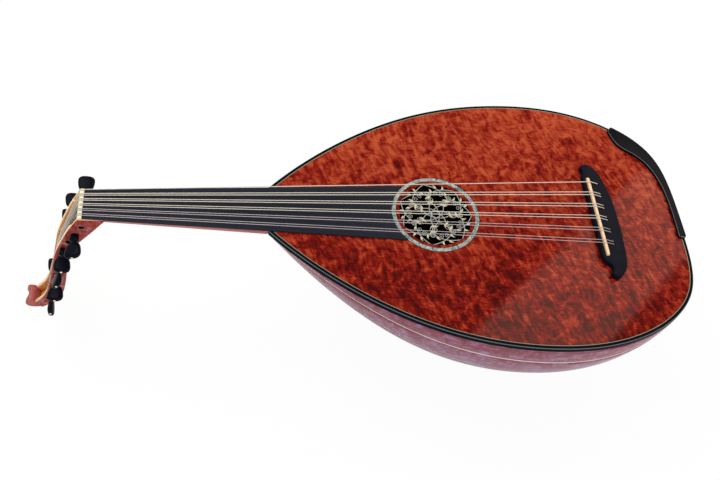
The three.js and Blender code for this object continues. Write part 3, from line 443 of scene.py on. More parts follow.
class Look(Enum):
    """Every finish on the instrument."""

    # Painted light: the top turns lighter towards the bass side, by the default slope.
    RED_BURL = Burl("red burl", (
        (0.38, (64, 3, 1)), (0.45, (106, 10, 2)), (0.5, (131, 28, 11)), (0.55, (152, 51, 27)),
        (0.63, (178, 76, 44))), coat=0.12, specular=0.0)
    # Painted reflection: slope and lift turn the staves paler lilac towards the bottom, in place of
    # the white floor's reflection.
    STAVE_ROSE = Burl("rose stave wood", (
        (0.38, (94, 26, 40)), (0.45, (116, 40, 58)), (0.51, (129, 53, 77)), (0.57, (138, 86, 114)),
        (0.66, (148, 120, 148))), roughness=0.35, coat=0.85, coat_roughness=0.12, specular=0.0,
        ripple_scale=(30.0, 220.0, 220.0), ripple_turn=0.0, fibre_scale=(40.0, 1400.0, 1400.0),
        slope=(0.0, 0.0, -1.5), lift=0.27)
    CHEEK_RED = Burl("figured cheek wood", (
        (0.38, (126, 20, 8)), (0.46, (142, 32, 18)), (0.51, (146, 60, 54)), (0.56, (160, 92, 96)),
        (0.64, (178, 118, 124))), roughness=0.35, coat=0.1, specular=0.1, slope=(0.0, 0.0, 0.0))
    STAVE_INSIDE = Grain("stave inside", (58, 34, 28), roughness=0.8, streak=(34, 18, 14))
    RED_WOOD = Grain("red neck wood", (158, 74, 70), roughness=0.35, coat=0.2, specular=0.2,
                     streak=(120, 44, 36), stretch=(0.3, 1.0, 0.08))
    CARVED_ROSE = Grain("carved rose wood", (176, 92, 86), coat=0.1, specular=0.2,
                        streak=(138, 50, 40), stretch=(0.5, 1.0, 0.3), streak_scale=200.0,
                        contrast=0.6)
    HONEY_WOOD = Grain("honey wood", (242, 176, 106), coat=0.1, specular=0.2, streak=(222, 146, 80),
                       stretch=(0.4, 1.0, 0.08), contrast=0.4)
    CREAM_WOOD = Grain("cream wood", (248, 210, 158), coat=0.1, specular=0.2,
                       streak=(240, 188, 128), stretch=(0.4, 1.0, 0.08), contrast=0.4)
    EBONY = Grain("bridge blackwood", (17, 19, 29), 0.42, specular=0.04, streak=(9, 10, 15),
                  contrast=0.6)
    FINGERBOARD = Grain("board blackwood", (31, 34, 45), 0.45, specular=0.07, streak=(20, 22, 30),
                        contrast=0.6)
    SPRUCE = Grain("inner spruce", (206, 172, 118), roughness=0.7, streak=(170, 132, 84),
                   contrast=0.4)
    EDGING = Finish("glossy black edge", (9, 10, 16), roughness=0.3, specular=0.04, unevenness=0.3)
    # Painted highlight: a light grey strip on the rounded corners of the binding and the armrest,
    # in place of the lamps' reflection there.
    EDGE_SHEEN = Finish("soft grey edge", (98, 110, 120), roughness=0.3, specular=0.04,
                        unevenness=0.2)
    PEG = Finish("peg black", (11, 13, 23), roughness=0.3, specular=0.04, unevenness=0.3)
    BONE = Finish("polished bone", (243, 236, 206), specular=0.3, unevenness=0.06,
                  grain_scale=300.0)
    SADDLE_BONE = Finish("saddle bone", (243, 208, 166), specular=0.3, unevenness=0.06,
                         grain_scale=300.0)
    CREAM_LINE = Finish("cream line", (250, 232, 208), roughness=0.45, specular=0.3,
                        unevenness=0.06)
    PALE_LINE = Finish("pale line", (158, 158, 128), specular=0.2, unevenness=0.1)
    SHELL = Shell("shell inlay", (
        (0.22, (40, 82, 92)), (0.36, (84, 146, 144)), (0.44, (150, 166, 156)),
        (0.52, (196, 200, 186)), (0.6, (118, 148, 124)), (0.7, (176, 156, 162)),
        (0.82, (84, 116, 158))), roughness=0.22, coat=0.3, specular=0.3)
    TRACERY = Finish("silver tracery", (192, 198, 188), roughness=0.35, specular=0.3,
                     unevenness=0.35, grain_scale=260.0)
    LEAF = Finish("gold leaf", (230, 216, 176), specular=0.3, unevenness=0.2, grain_scale=300.0)
    WOUND = Winding("wrapped wire", (226, 218, 200), specular=0.4)
    NYLON = Finish("clear strand", (186, 176, 174), roughness=0.25, specular=0.4, unevenness=0.05)
    METAL = Finish("satin metal", (170, 172, 176), roughness=0.3, metallic=0.9, unevenness=0.1)
    CABLE = Finish("lead jacket", (34, 34, 36), roughness=0.6, unevenness=0.2)

    def on(self, thing: Thing) -> None:
        """Dresses an object in this finish alone."""
        thing.data.materials.clear()
        thing.data.materials.append(self.value.material())

    def on_faces(self, thing: Thing, chosen: Callable[[Vector], bool]) -> None:
        """Dresses chosen faces in this finish, beside the first one.

        Args:
            thing: The object.
            chosen: Tells by a face's normal whether it is dressed.
        """
        thing.data.materials.append(self.value.material())
        last = len(thing.data.materials) - 1
        for polygon in thing.data.polygons:
            if chosen(polygon.normal):
                polygon.material_index = last


def as_mesh(name: str, bm: BMesh) -> bpy.types.Mesh:
    """Turns a bmesh into a mesh.

    Args:
        name: The mesh's name.
        bm: The bmesh, which is freed.

    Returns:
        The mesh.
    """
    mesh = bpy.data.meshes.new(name)
    bm.to_mesh(mesh)
    bm.free()
    return mesh


def added(name: str, data: bpy.types.ID) -> Thing:
    """Adds an object to the scene.

    Args:
        name: Its name.
        data: What it holds.

    Returns:
        The object.
    """
    thing = bpy.data.objects.new(name, data)
    bpy.context.scene.collection.objects.link(thing)
    return thing


def moved(bm: BMesh, shift: Vector) -> BMesh:
    """The mesh, shifted as a whole."""
    bmesh.ops.translate(bm, verts=bm.verts, vec=shift)
    return bm


def is_sharp(edge: bmesh.types.BMEdge, crease: float) -> bool:
    """Whether the faces beside an edge meet at more than a crease, in degrees."""
    return edge.is_manifold and edge.calc_face_angle(0.0) > radians(crease)


def patch(across: int, along: int, place: Callable[[float, float], Vector]) -> BMesh:
    """A square grid whose points a rule puts in place.

    Args:
        across: Faces along the first share.
        along: Faces along the second share.
        place: Gives a point for two shares from 0 to 1.

    Returns:
        The open patch.
    """
    bm = bmesh.new()
    bmesh.ops.create_grid(bm, x_segments=across, y_segments=along, size=0.5)
    for vert in bm.verts:
        vert.co = place(vert.co.x + 0.5, vert.co.y + 0.5)
    return bm


def closed(bm: BMesh) -> BMesh:
    """Merges a patch's meeting edges and fills its open ends.

    Args:
        bm: The patch.

    Returns:
        The patch, closed.
    """
    bmesh.ops.remove_doubles(bm, verts=bm.verts, dist=MERGE_REACH)
    rims = [edge for edge in bm.edges if edge.is_boundary]
    if rims:
        bmesh.ops.holes_fill(bm, edges=rims, sides=0)
    return bm


def turned(profile: Pairs, sides: int) -> BMesh:
    """Spins a profile once round Z.

    Args:
        profile: Points (radius, height) in millimetres, from one end of the axis to the other, or a
            closed run off the axis.
        sides: Steps in the full turn.

    Returns:
        The turned mesh, standing on the origin.
    """
    bm = bmesh.new()
    verts = [bm.verts.new((radius * MM, 0.0, height * MM)) for radius, height in profile]
    edges = [bm.edges.new(pair) for pair in zip(verts, verts[1:])]
    if profile[0][0] > 0:
        edges.append(bm.edges.new((verts[-1], verts[0])))
    bmesh.ops.spin(bm, geom=verts + edges, cent=(0, 0, 0), axis=(0, 0, 1), angle=2 * pi,
                   steps=sides, use_merge=True)
    bmesh.ops.remove_doubles(bm, verts=bm.verts, dist=MERGE_REACH)
    return bm


def flat_ring(radii: Sequence[float], heights: Sequence[float], sides: int,
              middle: Vector) -> BMesh:
    """A flat ring between two radii and two heights, in millimetres, about a point."""
    (inner, outer), (low, high) = radii, heights
    return moved(turned(((inner, low), (outer, low), (outer, high), (inner, high)), sides), middle)


def ball(radius: float, around: int, up: int) -> BMesh:
    """A ball on the origin.

    Args:
        radius: Its radius.
        around: Faces round it.
        up: Faces from pole to pole.

    Returns:
        The ball.
    """
    bm = bmesh.new()
    bmesh.ops.create_uvsphere(bm, u_segments=around, v_segments=up, radius=radius)
    return bm


def tube(points: Sequence[Vector], radius: float, sides: int) -> BMesh:
    """A round rod along a run of points.

    Args:
        points: The centre line.
        radius: The rod's radius, in millimetres.
        sides: Faces round it.

    Returns:
        The closed rod.
    """
    count = len(points) - 1
    ahead = [(points[min(i + 1, count)] - points[max(i - 1, 0)]).normalized()
             for i in range(count + 1)]
    side = [ahead[0].orthogonal().normalized()]
    for direction in ahead[1:]:
        side.append((side[-1] - direction * side[-1].dot(direction)).normalized())

    def place(around: float, along: float) -> Vector:
        """A point of the rod.

        Args:
            around: Share of its girth.
            along: Share of its length.

        Returns:
            The point.
        """
        i = round(along * count)
        angle = 2 * pi * around
        across = ahead[i].cross(side[i])
        return points[i] + (side[i] * cos(angle) + across * sin(angle)) * (radius * MM)

    return closed(patch(sides, count, place))


def refined(node: str, offset: float, segments: int = 2, crease: float = 30.0) -> BMesh:
    """A merged copy of a CAD node with its sharp edges softened.

    Args:
        node: The CAD node.
        offset: How far each bevel reaches, in millimetres, or 0 for none.
        segments: Faces across a bevel.
        crease: Least angle, in degrees, at which an edge is softened.

    Returns:
        The copy.
    """
    flat = radians(0.5)
    bm = bmesh.new()
    bm.from_mesh(frame["nodes"][node].data)
    bmesh.ops.remove_doubles(bm, verts=bm.verts, dist=MERGE_REACH)
    bmesh.ops.dissolve_limit(bm, angle_limit=flat, verts=bm.verts, edges=bm.edges)
    if offset > 0:
        sharp = [edge for edge in bm.edges if is_sharp(edge, crease)]
        bmesh.ops.bevel(bm, geom=sharp, offset=offset * MM, offset_type="OFFSET", affect="EDGES",
                        segments=segments, profile=0.5, material=-1, clamp_overlap=True)
    return bm


def joined(parts: Iterable[BMesh]) -> BMesh:
    """Joins several meshes.

    Args:
        parts: The meshes, which are freed.

    Returns:
        All in one.
    """
    whole = bmesh.new()
    for part in parts:
        mesh = as_mesh("part", part)
        whole.from_mesh(mesh)
        bpy.data.meshes.remove(mesh)
    return whole


@dataclass(frozen=True)
class Piece:
    """What a finished mesh is called and how it joins the frame."""

    name: str
    finish: Look
    slot: str
    stands_for: tuple[str, ...] = ()
    body: str = INSTRUMENT
    crease: float = 35.0

    def make(self, bm: BMesh, outwards: bool = True) -> Thing:
        """Turns a bmesh into a dressed piece that rides on its body.

        Args:
            bm: The mesh, in the row frame and in metres. It is freed here.
            outwards: Whether to turn every face outwards, as a closed mesh needs.

        Returns:
            The new object.
        """
        if outwards:
            bmesh.ops.recalc_face_normals(bm, faces=bm.faces)
        for face in bm.faces:
            face.smooth = True
        for edge in bm.edges:
            edge.smooth = not is_sharp(edge, self.crease)
        thing = added(self.name, as_mesh(self.name, bm))
        self.finish.on(thing)
        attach(thing, self.body)
        if self.stands_for:
            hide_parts(*self.stands_for)
        return thing

    def soften(self, offset: float, segments: int = 2, crease: float = 30.0) -> Thing:
        """Makes the piece as a refined copy of the CAD node that it stands for."""
        return self.make(refined(self.stands_for[0], offset, segments, crease))


origin = Vector((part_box("nut")[1].x, 0.0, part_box("soundboard")[1].z))


def at(x: float, y: float, z: float) -> Vector:
    """A point of the row frame, in millimetres from the nut's edge, the middle and the top."""
    return origin + Vector((x, y, z)) * MM


@dataclass
class BodyShape:
    """The body's plan outline and bowl, in millimetres from the nut, the middle and the top."""

    scale_length: float = 585.0
    start_share: float = 0.3243
    length_share: float = 0.8632
    half_width_share: float = 0.3426
    depth_share: float = 1.112
    depth_power: float = 1.19
    clasp_share: float = 0.26
    ring_share: float = 0.6677
    neck_half_width: float = 19.25
    ring_half_width: float = 39.2
    outline_shares: Pairs = ((0, 0.119), (0.0885, 0.406), (0.322, 0.884), (0.615, 1.034),
                             (0.828, 0.959), (0.998, 0.627), (1, 0.265), (1, 0))
    degree: int = 3

    def __post_init__(self) -> None:
        """Works out the body's sizes, and where the neck joins and the clasp begins."""
        self.start = self.scale_length * self.start_share
        self.length = self.scale_length * self.length_share
        self.half_width = self.length * self.half_width_share
        self.depth = self.half_width * self.depth_share
        self.ring_x = self.scale_length * self.ring_share
        clasp_half_width = self.half_width * self.clasp_share
        inner = len(self.outline_shares) - self.degree
        ends = [0.0] * self.degree, [1.0] * self.degree
        self.knots = ends[0] + [i / inner for i in range(inner + 1)] + ends[1]
        self.widest = self.first(lambda t: self.normal(t)[0] > 0, 0.0, 1.0)
        self.joint = self.first(lambda t: self.beside_board(t) > 0, 0.0, self.widest)
        self.clasp = self.first(lambda t: self.edge(t)[1] < clasp_half_width, self.widest, 1.0)

    def beside_board(self, t: float) -> float:
        """How far the outline stands outside the fingerboard's widening edge.

        Args:
            t: The place, as for edge.

        Returns:
            The distance, in millimetres.
        """
        x, y = self.edge(t)
        spread = self.ring_half_width - self.neck_half_width
        return y - self.neck_half_width - spread * x / self.ring_x

    @staticmethod
    def first(test: Callable[[float], bool], low: float, high: float) -> float:
        """Finds by halving where a test first holds.

        Args:
            test: The test.
            low: Where it fails.
            high: Where it holds.

        Returns:
            The place.
        """
        halvings = 40
        for _ in range(halvings):
            middle = (low + high) / 2
            low, high = (low, middle) if test(middle) else (middle, high)
        return high

    def edge(self, t: float) -> Pair:
        """A point of the bass half of the outline.

        Args:
            t: From 0 under the fingerboard to 1 at the tail.

        Returns:
            Its x and y.
        """
        t = min(max(t, 0.0), 1.0)
        span = self.degree
        while span < len(self.outline_shares) - 1 and t >= self.knots[span + 1]:
            span += 1
        work = [self.outline_shares[span - self.degree + i] for i in range(self.degree + 1)]
        for level in range(1, self.degree + 1):
            for i in range(self.degree, level - 1, -1):
                low = self.knots[span - self.degree + i]
                high = self.knots[span + 1 + i - level]
                share = (t - low) / (high - low)
                work[i] = tuple((1 - share) * a + share * b for a, b in zip(work[i - 1], work[i]))
        along, across = work[self.degree]
        return self.start + along * self.length, across * self.half_width

    def normal(self, t: float) -> Pair:
        """The outline's outward direction, in plan.

        Args:
            t: The place, as for edge.

        Returns:
            Its x and y.
        """
        step = 1e-4
        before, after = self.edge(t - step), self.edge(t + step)
        along = Vector((after[0] - before[0], after[1] - before[1])).normalized()
        return -along.y, along.x

    def rim(self, t: float, inset: float) -> Vector:
        """A point inside the whole outline.

        Args:
            t: From -1 on the treble side over 0 at the tail to 1 on the bass side.
            inset: How far inside it is.

        Returns:
            The point, at height 0.
        """
        place = 1 - abs(t) * (1 - self.joint)
        x, y = self.edge(place)
        across_x, across_y = self.normal(place)
        side = 1.0 if t >= 0 else -1.0
        return Vector((x - inset * across_x, side * max(y - inset * across_y, 0.0), 0.0))

    def bowl(self, t: float, girth: float) -> Vector:
        """A point of the bowl.

        Args:
            t: The place along it, as for edge.
            girth: 0 at the bass edge, 1 at the keel, 2 at the treble edge.

        Returns:
            The point.
        """
        x, half = self.edge(t)
        depth = self.depth * (half / self.half_width) ** self.depth_power
        radius = (half * half + depth * depth) / (2 * depth)
        middle = radius - depth
        edge_angle = atan2(-middle, half)
        angle = edge_angle - girth * (pi / 2 + edge_angle)
        return Vector((x, radius * cos(angle), middle + radius * sin(angle)))

    def swept(self, places: Sequence[float], sections: Sequence[Pairs]) -> BMesh:
        """Sweeps closed sections along the rim.

        Args:
            places: Where each section stands, as for rim.
            sections: The (inset, height) points of each.

        Returns:
            The sweep, with closed ends.
        """
        stations, count = len(places) - 1, len(sections[0])

        def place(around: float, along: float) -> Vector:
            """A point of the sweep.

            Args:
                around: Share of its girth.
                along: Share of its length.

            Returns:
                The point.
            """
            k = round(along * stations)
            inset, height = sections[k][round(around * count) % count]
            point = self.rim(places[k], inset)
            return held(at(point.x, point.y, height))

        return closed(patch(count, stations, place))


@dataclass
class Bowl:
    """Thirteen bent staves with cream fillets between them, and the clasp over their ends."""

    shape: BodyShape
    edge_rib_share: float = 0.11
    thickness: float = 2.8
    fillet_width: float = 1.6
    under_binding: float = 6.2
    girth_share: float = 1.6
    clasp_edge: float = 0.5
    stations: int = 56
    across: int = 6

    def seams(self) -> list[float]:
        """The lines along which staves meet.

        Returns:
            Their girths, the edges among them.
        """
        step = (1 - self.edge_rib_share) * 2 / (RIB_COUNT - 2)
        half = [0.0] + [self.edge_rib_share + i * step for i in range(RIB_COUNT // 2)]
        return half + [2 - girth for girth in reversed(half)]

    def _skin(self, low: float, high: float, insets: Sequence[float], across: int) -> BMesh:
        """A strip of the bowl.

        Args:
            low: The girth at which it begins.
            high: The girth at which it ends.
            insets: How far its two sides are pulled in, in millimetres.
            across: Faces across it.

        Returns:
            The strip, cut off under the binding.
        """
        shape = self.shape
        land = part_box("bowl_rib_07")[0].z

        def place(side: float, along: float) -> Vector:
            """A point of the strip.

            Args:
                side: Share of its width.
                along: Share of its length.

            Returns:
                The point.
            """
            t = shape.joint + (shape.clasp - shape.joint) * along
            first, last = shape.bowl(t, low), shape.bowl(t, high)
            width = max((last - first).length, self.fillet_width * 2)
            share = (insets[0] + side * (width - insets[0] - insets[1])) / width
            point = at(*shape.bowl(t, low + (high - low) * share))
            point.z = max(point.z, land)
            return held(point)

        bm = patch(across, self.stations, place)
        middle = at(shape.edge(shape.widest)[0], 0.0, 0.0)
        bm.faces.ensure_lookup_table()
        face = bm.faces[len(bm.faces) // 2]
        if face.normal.dot(face.calc_center_median() - middle) < 0:
            bmesh.ops.reverse_faces(bm, faces=bm.faces)
        top = at(0.0, 0.0, -self.under_binding)
        bmesh.ops.bisect_plane(bm, geom=bm.verts[:] + bm.edges[:] + bm.faces[:], plane_co=top,
                               plane_no=(0, 0, 1), clear_outer=True)
        return bm

    def _wall(self, piece: Piece, skin: BMesh) -> None:
        """Makes a piece of a skin, with its thickness and plain wood on the inside.

        Args:
            piece: The piece.
            skin: Its outer face.
        """
        thing = piece.make(skin, outwards=False)
        thing.data.materials.append(Look.STAVE_INSIDE.value.material())
        wall = thing.modifiers.new("wall", "SOLIDIFY")
        wall.thickness = self.thickness * MM
        wall.offset = -1.0
        wall.use_even_offset = True
        wall.material_offset = 1

    def build(self) -> None:
        """Builds staves, fillets and clasp."""
        seams = self.seams()
        inset = self.fillet_width / 2
        insets = [0.0] + [inset] * (RIB_COUNT - 1) + [0.0]
        names = zip(numbered("stave", RIB_COUNT), numbered("bowl_rib", RIB_COUNT))
        for i, (name, node) in enumerate(names):
            skin = self._skin(seams[i], seams[i + 1], insets[i:i + 2], self.across)
            self._wall(Piece(name, Look.STAVE_ROSE, "bowl_ribs", (node,)), skin)
        reach = inset / (self.shape.half_width * self.girth_share)
        for name, girth in zip(numbered("fillet", RIB_COUNT - 1), seams[1:-1]):
            skin = self._skin(girth - reach, girth + reach, (0.0, 0.0), 1)
            self._wall(Piece(name, Look.CREAM_LINE, "pale_purfling"), skin)
        Piece("clasp", Look.STAVE_ROSE, "clasp", ("tail_clasp",)).soften(self.clasp_edge)


@dataclass
class Top:
    """Soundboard, edging, abalone ring and the lines let in beside them."""

    shape: BodyShape
    binding_width: float = 2.8
    binding_height: float = 6.0
    binding_round: float = 1.4
    round_steps: int = 4
    # Heights of the normals of the binding's corner faces that get the painted highlight.
    painted_highlight_normals: Pair = (0.25, 0.95)
    black_line_width: float = 1.2
    pale_line_width: float = 0.55
    line_depth: float = 1.2
    line_proud: float = 0.04
    channel_inner: float = 45.1
    shell_inner: float = 46.9
    shell_outer: float = 51.4
    ring_outer: float = 51.95
    ring_line: float = 0.4
    ring_heights: Pair = (-1.2, 0.03)
    stations: int = 200
    ring_sides: int = 128

    def _band(self, piece: Piece, section: Pairs) -> Thing:
        """One section of (inset, height) points, swept round the whole edge."""
        places = [2 * k / self.stations - 1 for k in range(self.stations + 1)]
        return piece.make(self.shape.swept(places, [section] * len(places)))

    def _line(self, piece: Piece, outer: float, inner: float) -> None:
        """A line let into the top, between two insets."""
        self._band(piece, ((outer, self.line_proud), (inner, self.line_proud),
                           (inner, -self.line_depth), (outer, -self.line_depth)))

    def _edge(self) -> None:
        """Black binding with a rounded upper edge carrying a painted highlight, then a black line
        and a pale one inside it.
        """
        angles = [pi / 2 * i / self.round_steps for i in range(self.round_steps + 1)]
        corner = [(self.binding_round * (1 - sin(a)), self.binding_round * (cos(a) - 1))
                  for a in reversed(angles)]
        binding = self._band(Piece("edge_binding", Look.EDGING, "black_edging", ("binding",)), (
            *corner, (0.0, -self.binding_height), (self.binding_width, -self.binding_height),
            (self.binding_width, 0.0)))
        # Painted highlight on the middle faces of the rounded corner.
        Look.EDGE_SHEEN.on_faces(binding, lambda n: self.painted_highlight_normals[0] < n.z < self.painted_highlight_normals[1])
        black_inner = self.binding_width + self.black_line_width
        self._line(Piece("black_edge_line", Look.EDGING, "black_edging"), self.binding_width,
                   black_inner)
        self._line(Piece("pale_edge_line", Look.PALE_LINE, "pale_purfling", ("edge_purfling",)),
                   black_inner, black_inner + self.pale_line_width)

    def build(self) -> None:
        """Builds the top and everything let into it."""
        Look.RED_BURL.on(frame["nodes"]["soundboard"])
        self._edge()
        middle = at(self.shape.ring_x, 0.0, 0.0)
        radii = (self.channel_inner, self.shell_inner - self.ring_line, self.shell_inner,
                 self.shell_outer, self.ring_outer)
        rings = (Piece("ring_red_line", Look.RED_BURL, "soundboard"),
                 Piece("ring_line_inner", Look.EDGING, "black_edging"),
                 Piece("shell_ring", Look.SHELL, "abalone", ("rosette_ring",)),
                 Piece("ring_line_outer", Look.EDGING, "black_edging"))
        for i, piece in enumerate(rings):
            piece.make(flat_ring(radii[i:i + 2], self.ring_heights, self.ring_sides, middle))


@dataclass
class Rose:
    """Fine tracery in the sound hole: vines that cross on their way out, with leaves and curls."""

    shape: BodyShape
    outer: float = 43.9
    thickness: float = 1.6
    sink: float = 0.5
    rim_width: float = 1.1
    hub: float = 5.6
    hub_width: float = 1.2
    ring_sides: int = 96
    fold: int = 7
    vine_radius: float = 0.52
    vine_turn: float = 1.25
    vine_sides: int = 8
    steps: int = 26
    look_ahead: float = 0.04
    leaf_length: float = 6.2
    leaf_width: float = 2.7
    leaf_bend: float = 1.1
    leaf_base: float = 1.45
    leaf_taper: float = 1.2
    leaf_faces: tuple[int, int] = (14, 6)
    curl_radius: float = 3.1
    curl_turns: float = 1.1
    curl_shrink: float = 0.7
    curl_thinness: float = 0.6
    curl_steps: int = 24
    curl_sides: int = 6
    bead_radius: float = 0.75
    bead_faces: tuple[int, int] = (10, 8)
    leaf_places: Pairs = ((0.3, 0.9), (0.5, -0.9), (0.66, 0.8), (0.84, 0.9))
    curl_places: Pairs = ((0.4, -1.0), (0.72, -1.0), (0.58, 1.0))

    @staticmethod
    def _polar(radius: float, angle: float) -> Vector:
        """A point of the rose's own plan."""
        return Vector((radius * cos(angle), radius * sin(angle), 0.0))

    def _vine(self, share: float, turn: float, start: float) -> Vector:
        """A point on a vine, share of the way out from the hub."""
        radius = self.hub + share * (self.outer - self.rim_width / 2 - self.hub)
        return self._polar(radius, start + turn * sin(share * pi) * (1 - share / 2))

    def _heading(self, share: float, turn: float, start: float) -> float:
        """The direction in which a vine runs at a share of its way."""
        ahead = self._vine(share + self.look_ahead, turn, start) - self._vine(share, turn, start)
        return atan2(ahead.y, ahead.x)

    def _placed(self, point: Vector, height: float = 0.0) -> Vector:
        """A point of the rose's own plan in the row frame."""
        middle = -self.sink - self.thickness / 2 + height
        return at(self.shape.ring_x + point.x, point.y, middle)

    def _ring(self, inner: float, outer: float) -> BMesh:
        """A flat ring of the rose."""
        half = self.thickness / 2
        return flat_ring((inner, outer), (-half, half), self.ring_sides, self._placed(Vector()))

    def _leaf(self, base: Vector, heading: float) -> BMesh:
        """A domed leaf, full near its base and bent towards its point.

        Args:
            base: Where it grows.
            heading: Its direction there, in radians.

        Returns:
            The leaf.
        """
        bm = ball(0.5, *self.leaf_faces)
        for vert in bm.verts:
            along = vert.co.x + 0.5
            narrow = self.leaf_base - self.leaf_taper * along
            spot = Vector((along * self.leaf_length, vert.co.y * self.leaf_width * narrow, 0.0))
            spot.rotate(Matrix.Rotation(heading + self.leaf_bend * along * along / 2, 3, "Z"))
            vert.co = self._placed(base + spot, vert.co.z * self.thickness)
        return bm

    def _curl(self, base: Vector, heading: float, side: float) -> list[BMesh]:
        """A tight spiral that winds in on itself and ends in a bead.

        Args:
            base: Where it grows.
            heading: Its direction there, in radians.
            side: 1 to wind to the left, -1 to the right.

        Returns:
            The spiral and its bead.
        """
        quarter = side * pi / 2
        centre = base + self._polar(1.0, heading + quarter) * self.curl_radius
        points = []
        for i in range(self.curl_steps + 1):
            share = i / self.curl_steps
            angle = heading - quarter + side * share * self.curl_turns * 2 * pi
            radius = self.curl_radius * (1 - self.curl_shrink * share)
            points.append(self._placed(centre + self._polar(1.0, angle) * radius))
        return [tube(points, self.vine_radius * self.curl_thinness, self.curl_sides),
                moved(ball(self.bead_radius * MM, *self.bead_faces), points[-1])]

    def build(self) -> None:
        """Builds the tracery, its leaves and the red rim that holds them."""
        vines = [self._ring(self.hub - self.hub_width, self.hub)]
        leaves = []
        for i in range(self.fold):
            start = 2 * pi * i / self.fold
            for side in (1.0, -1.0):
                way = side * self.vine_turn, start
                path = [self._placed(self._vine(k / self.steps, *way))
                        for k in range(self.steps + 1)]
                vines.append(tube(path, self.vine_radius, self.vine_sides))
                for share, lean in self.leaf_places:
                    heading = self._heading(share, *way) + side * lean
                    leaves.append(self._leaf(self._vine(share, *way), heading))
                for share, curl_side in self.curl_places:
                    heading = self._heading(share, *way)
                    vines += self._curl(self._vine(share, *way), heading, side * curl_side)
        Piece("rose_rim", Look.RED_BURL, "rose").make(
            self._ring(self.outer - self.rim_width, self.outer))
        Piece("rose_tracery", Look.TRACERY, "rose", ("rose",)).make(joined(vines))
        Piece("rose_leaves", Look.LEAF, "rose").make(joined(leaves))


@dataclass
class Neck:
    """Neck, fingerboard and nut."""

    board_edge: float = 0.5
    nut_edge: float = 0.25

    def build(self) -> None:
        """Softens the edges of fingerboard and nut."""
        Piece("neck_wood", Look.RED_WOOD, "neck", ("neck",)).soften(0.0)
        Piece("fingerboard_ebony", Look.FINGERBOARD, "fingerboard", ("fingerboard",)).soften(
            self.board_edge)
        Piece("nut_bone", Look.BONE, "bone", ("nut",)).soften(self.nut_edge)


@dataclass
class Pegbox:
    """Bent-back pegbox: cheeks red outside and honey-coloured inside, a back and a carved end."""

    soft_edge: float = 0.5
    end_edge: float = 1.2
    crease: float = 50.0
    end_crease: float = 60.0
    levels: tuple[float, ...] = (0.95, 0.2, -0.7, -1.1)

    def build(self) -> None:
        """Dresses cheeks, back and finial."""
        for side, out in (("bass", 1.0), ("treble", -1.0)):
            piece = Piece(f"cheek_{side}", Look.CHEEK_RED, "pegbox", (f"pegbox_cheek_{side}",),
                          crease=self.crease)
            cheek = piece.soften(self.soft_edge, 1, self.crease)
            looks = Look.EDGING, Look.CREAM_WOOD, Look.HONEY_WOOD
            for look, high, low in zip(looks, self.levels, self.levels[1:]):
                look.on_faces(cheek, lambda n: low < n.y * out <= high)
        Piece("box_back", Look.HONEY_WOOD, "pegbox", ("pegbox_back",)).soften(
            self.soft_edge, crease=self.crease)
        Piece("carved_end", Look.CARVED_ROSE, "pegbox", ("finial",), crease=self.end_crease).soften(
            self.end_edge, 3, self.crease)


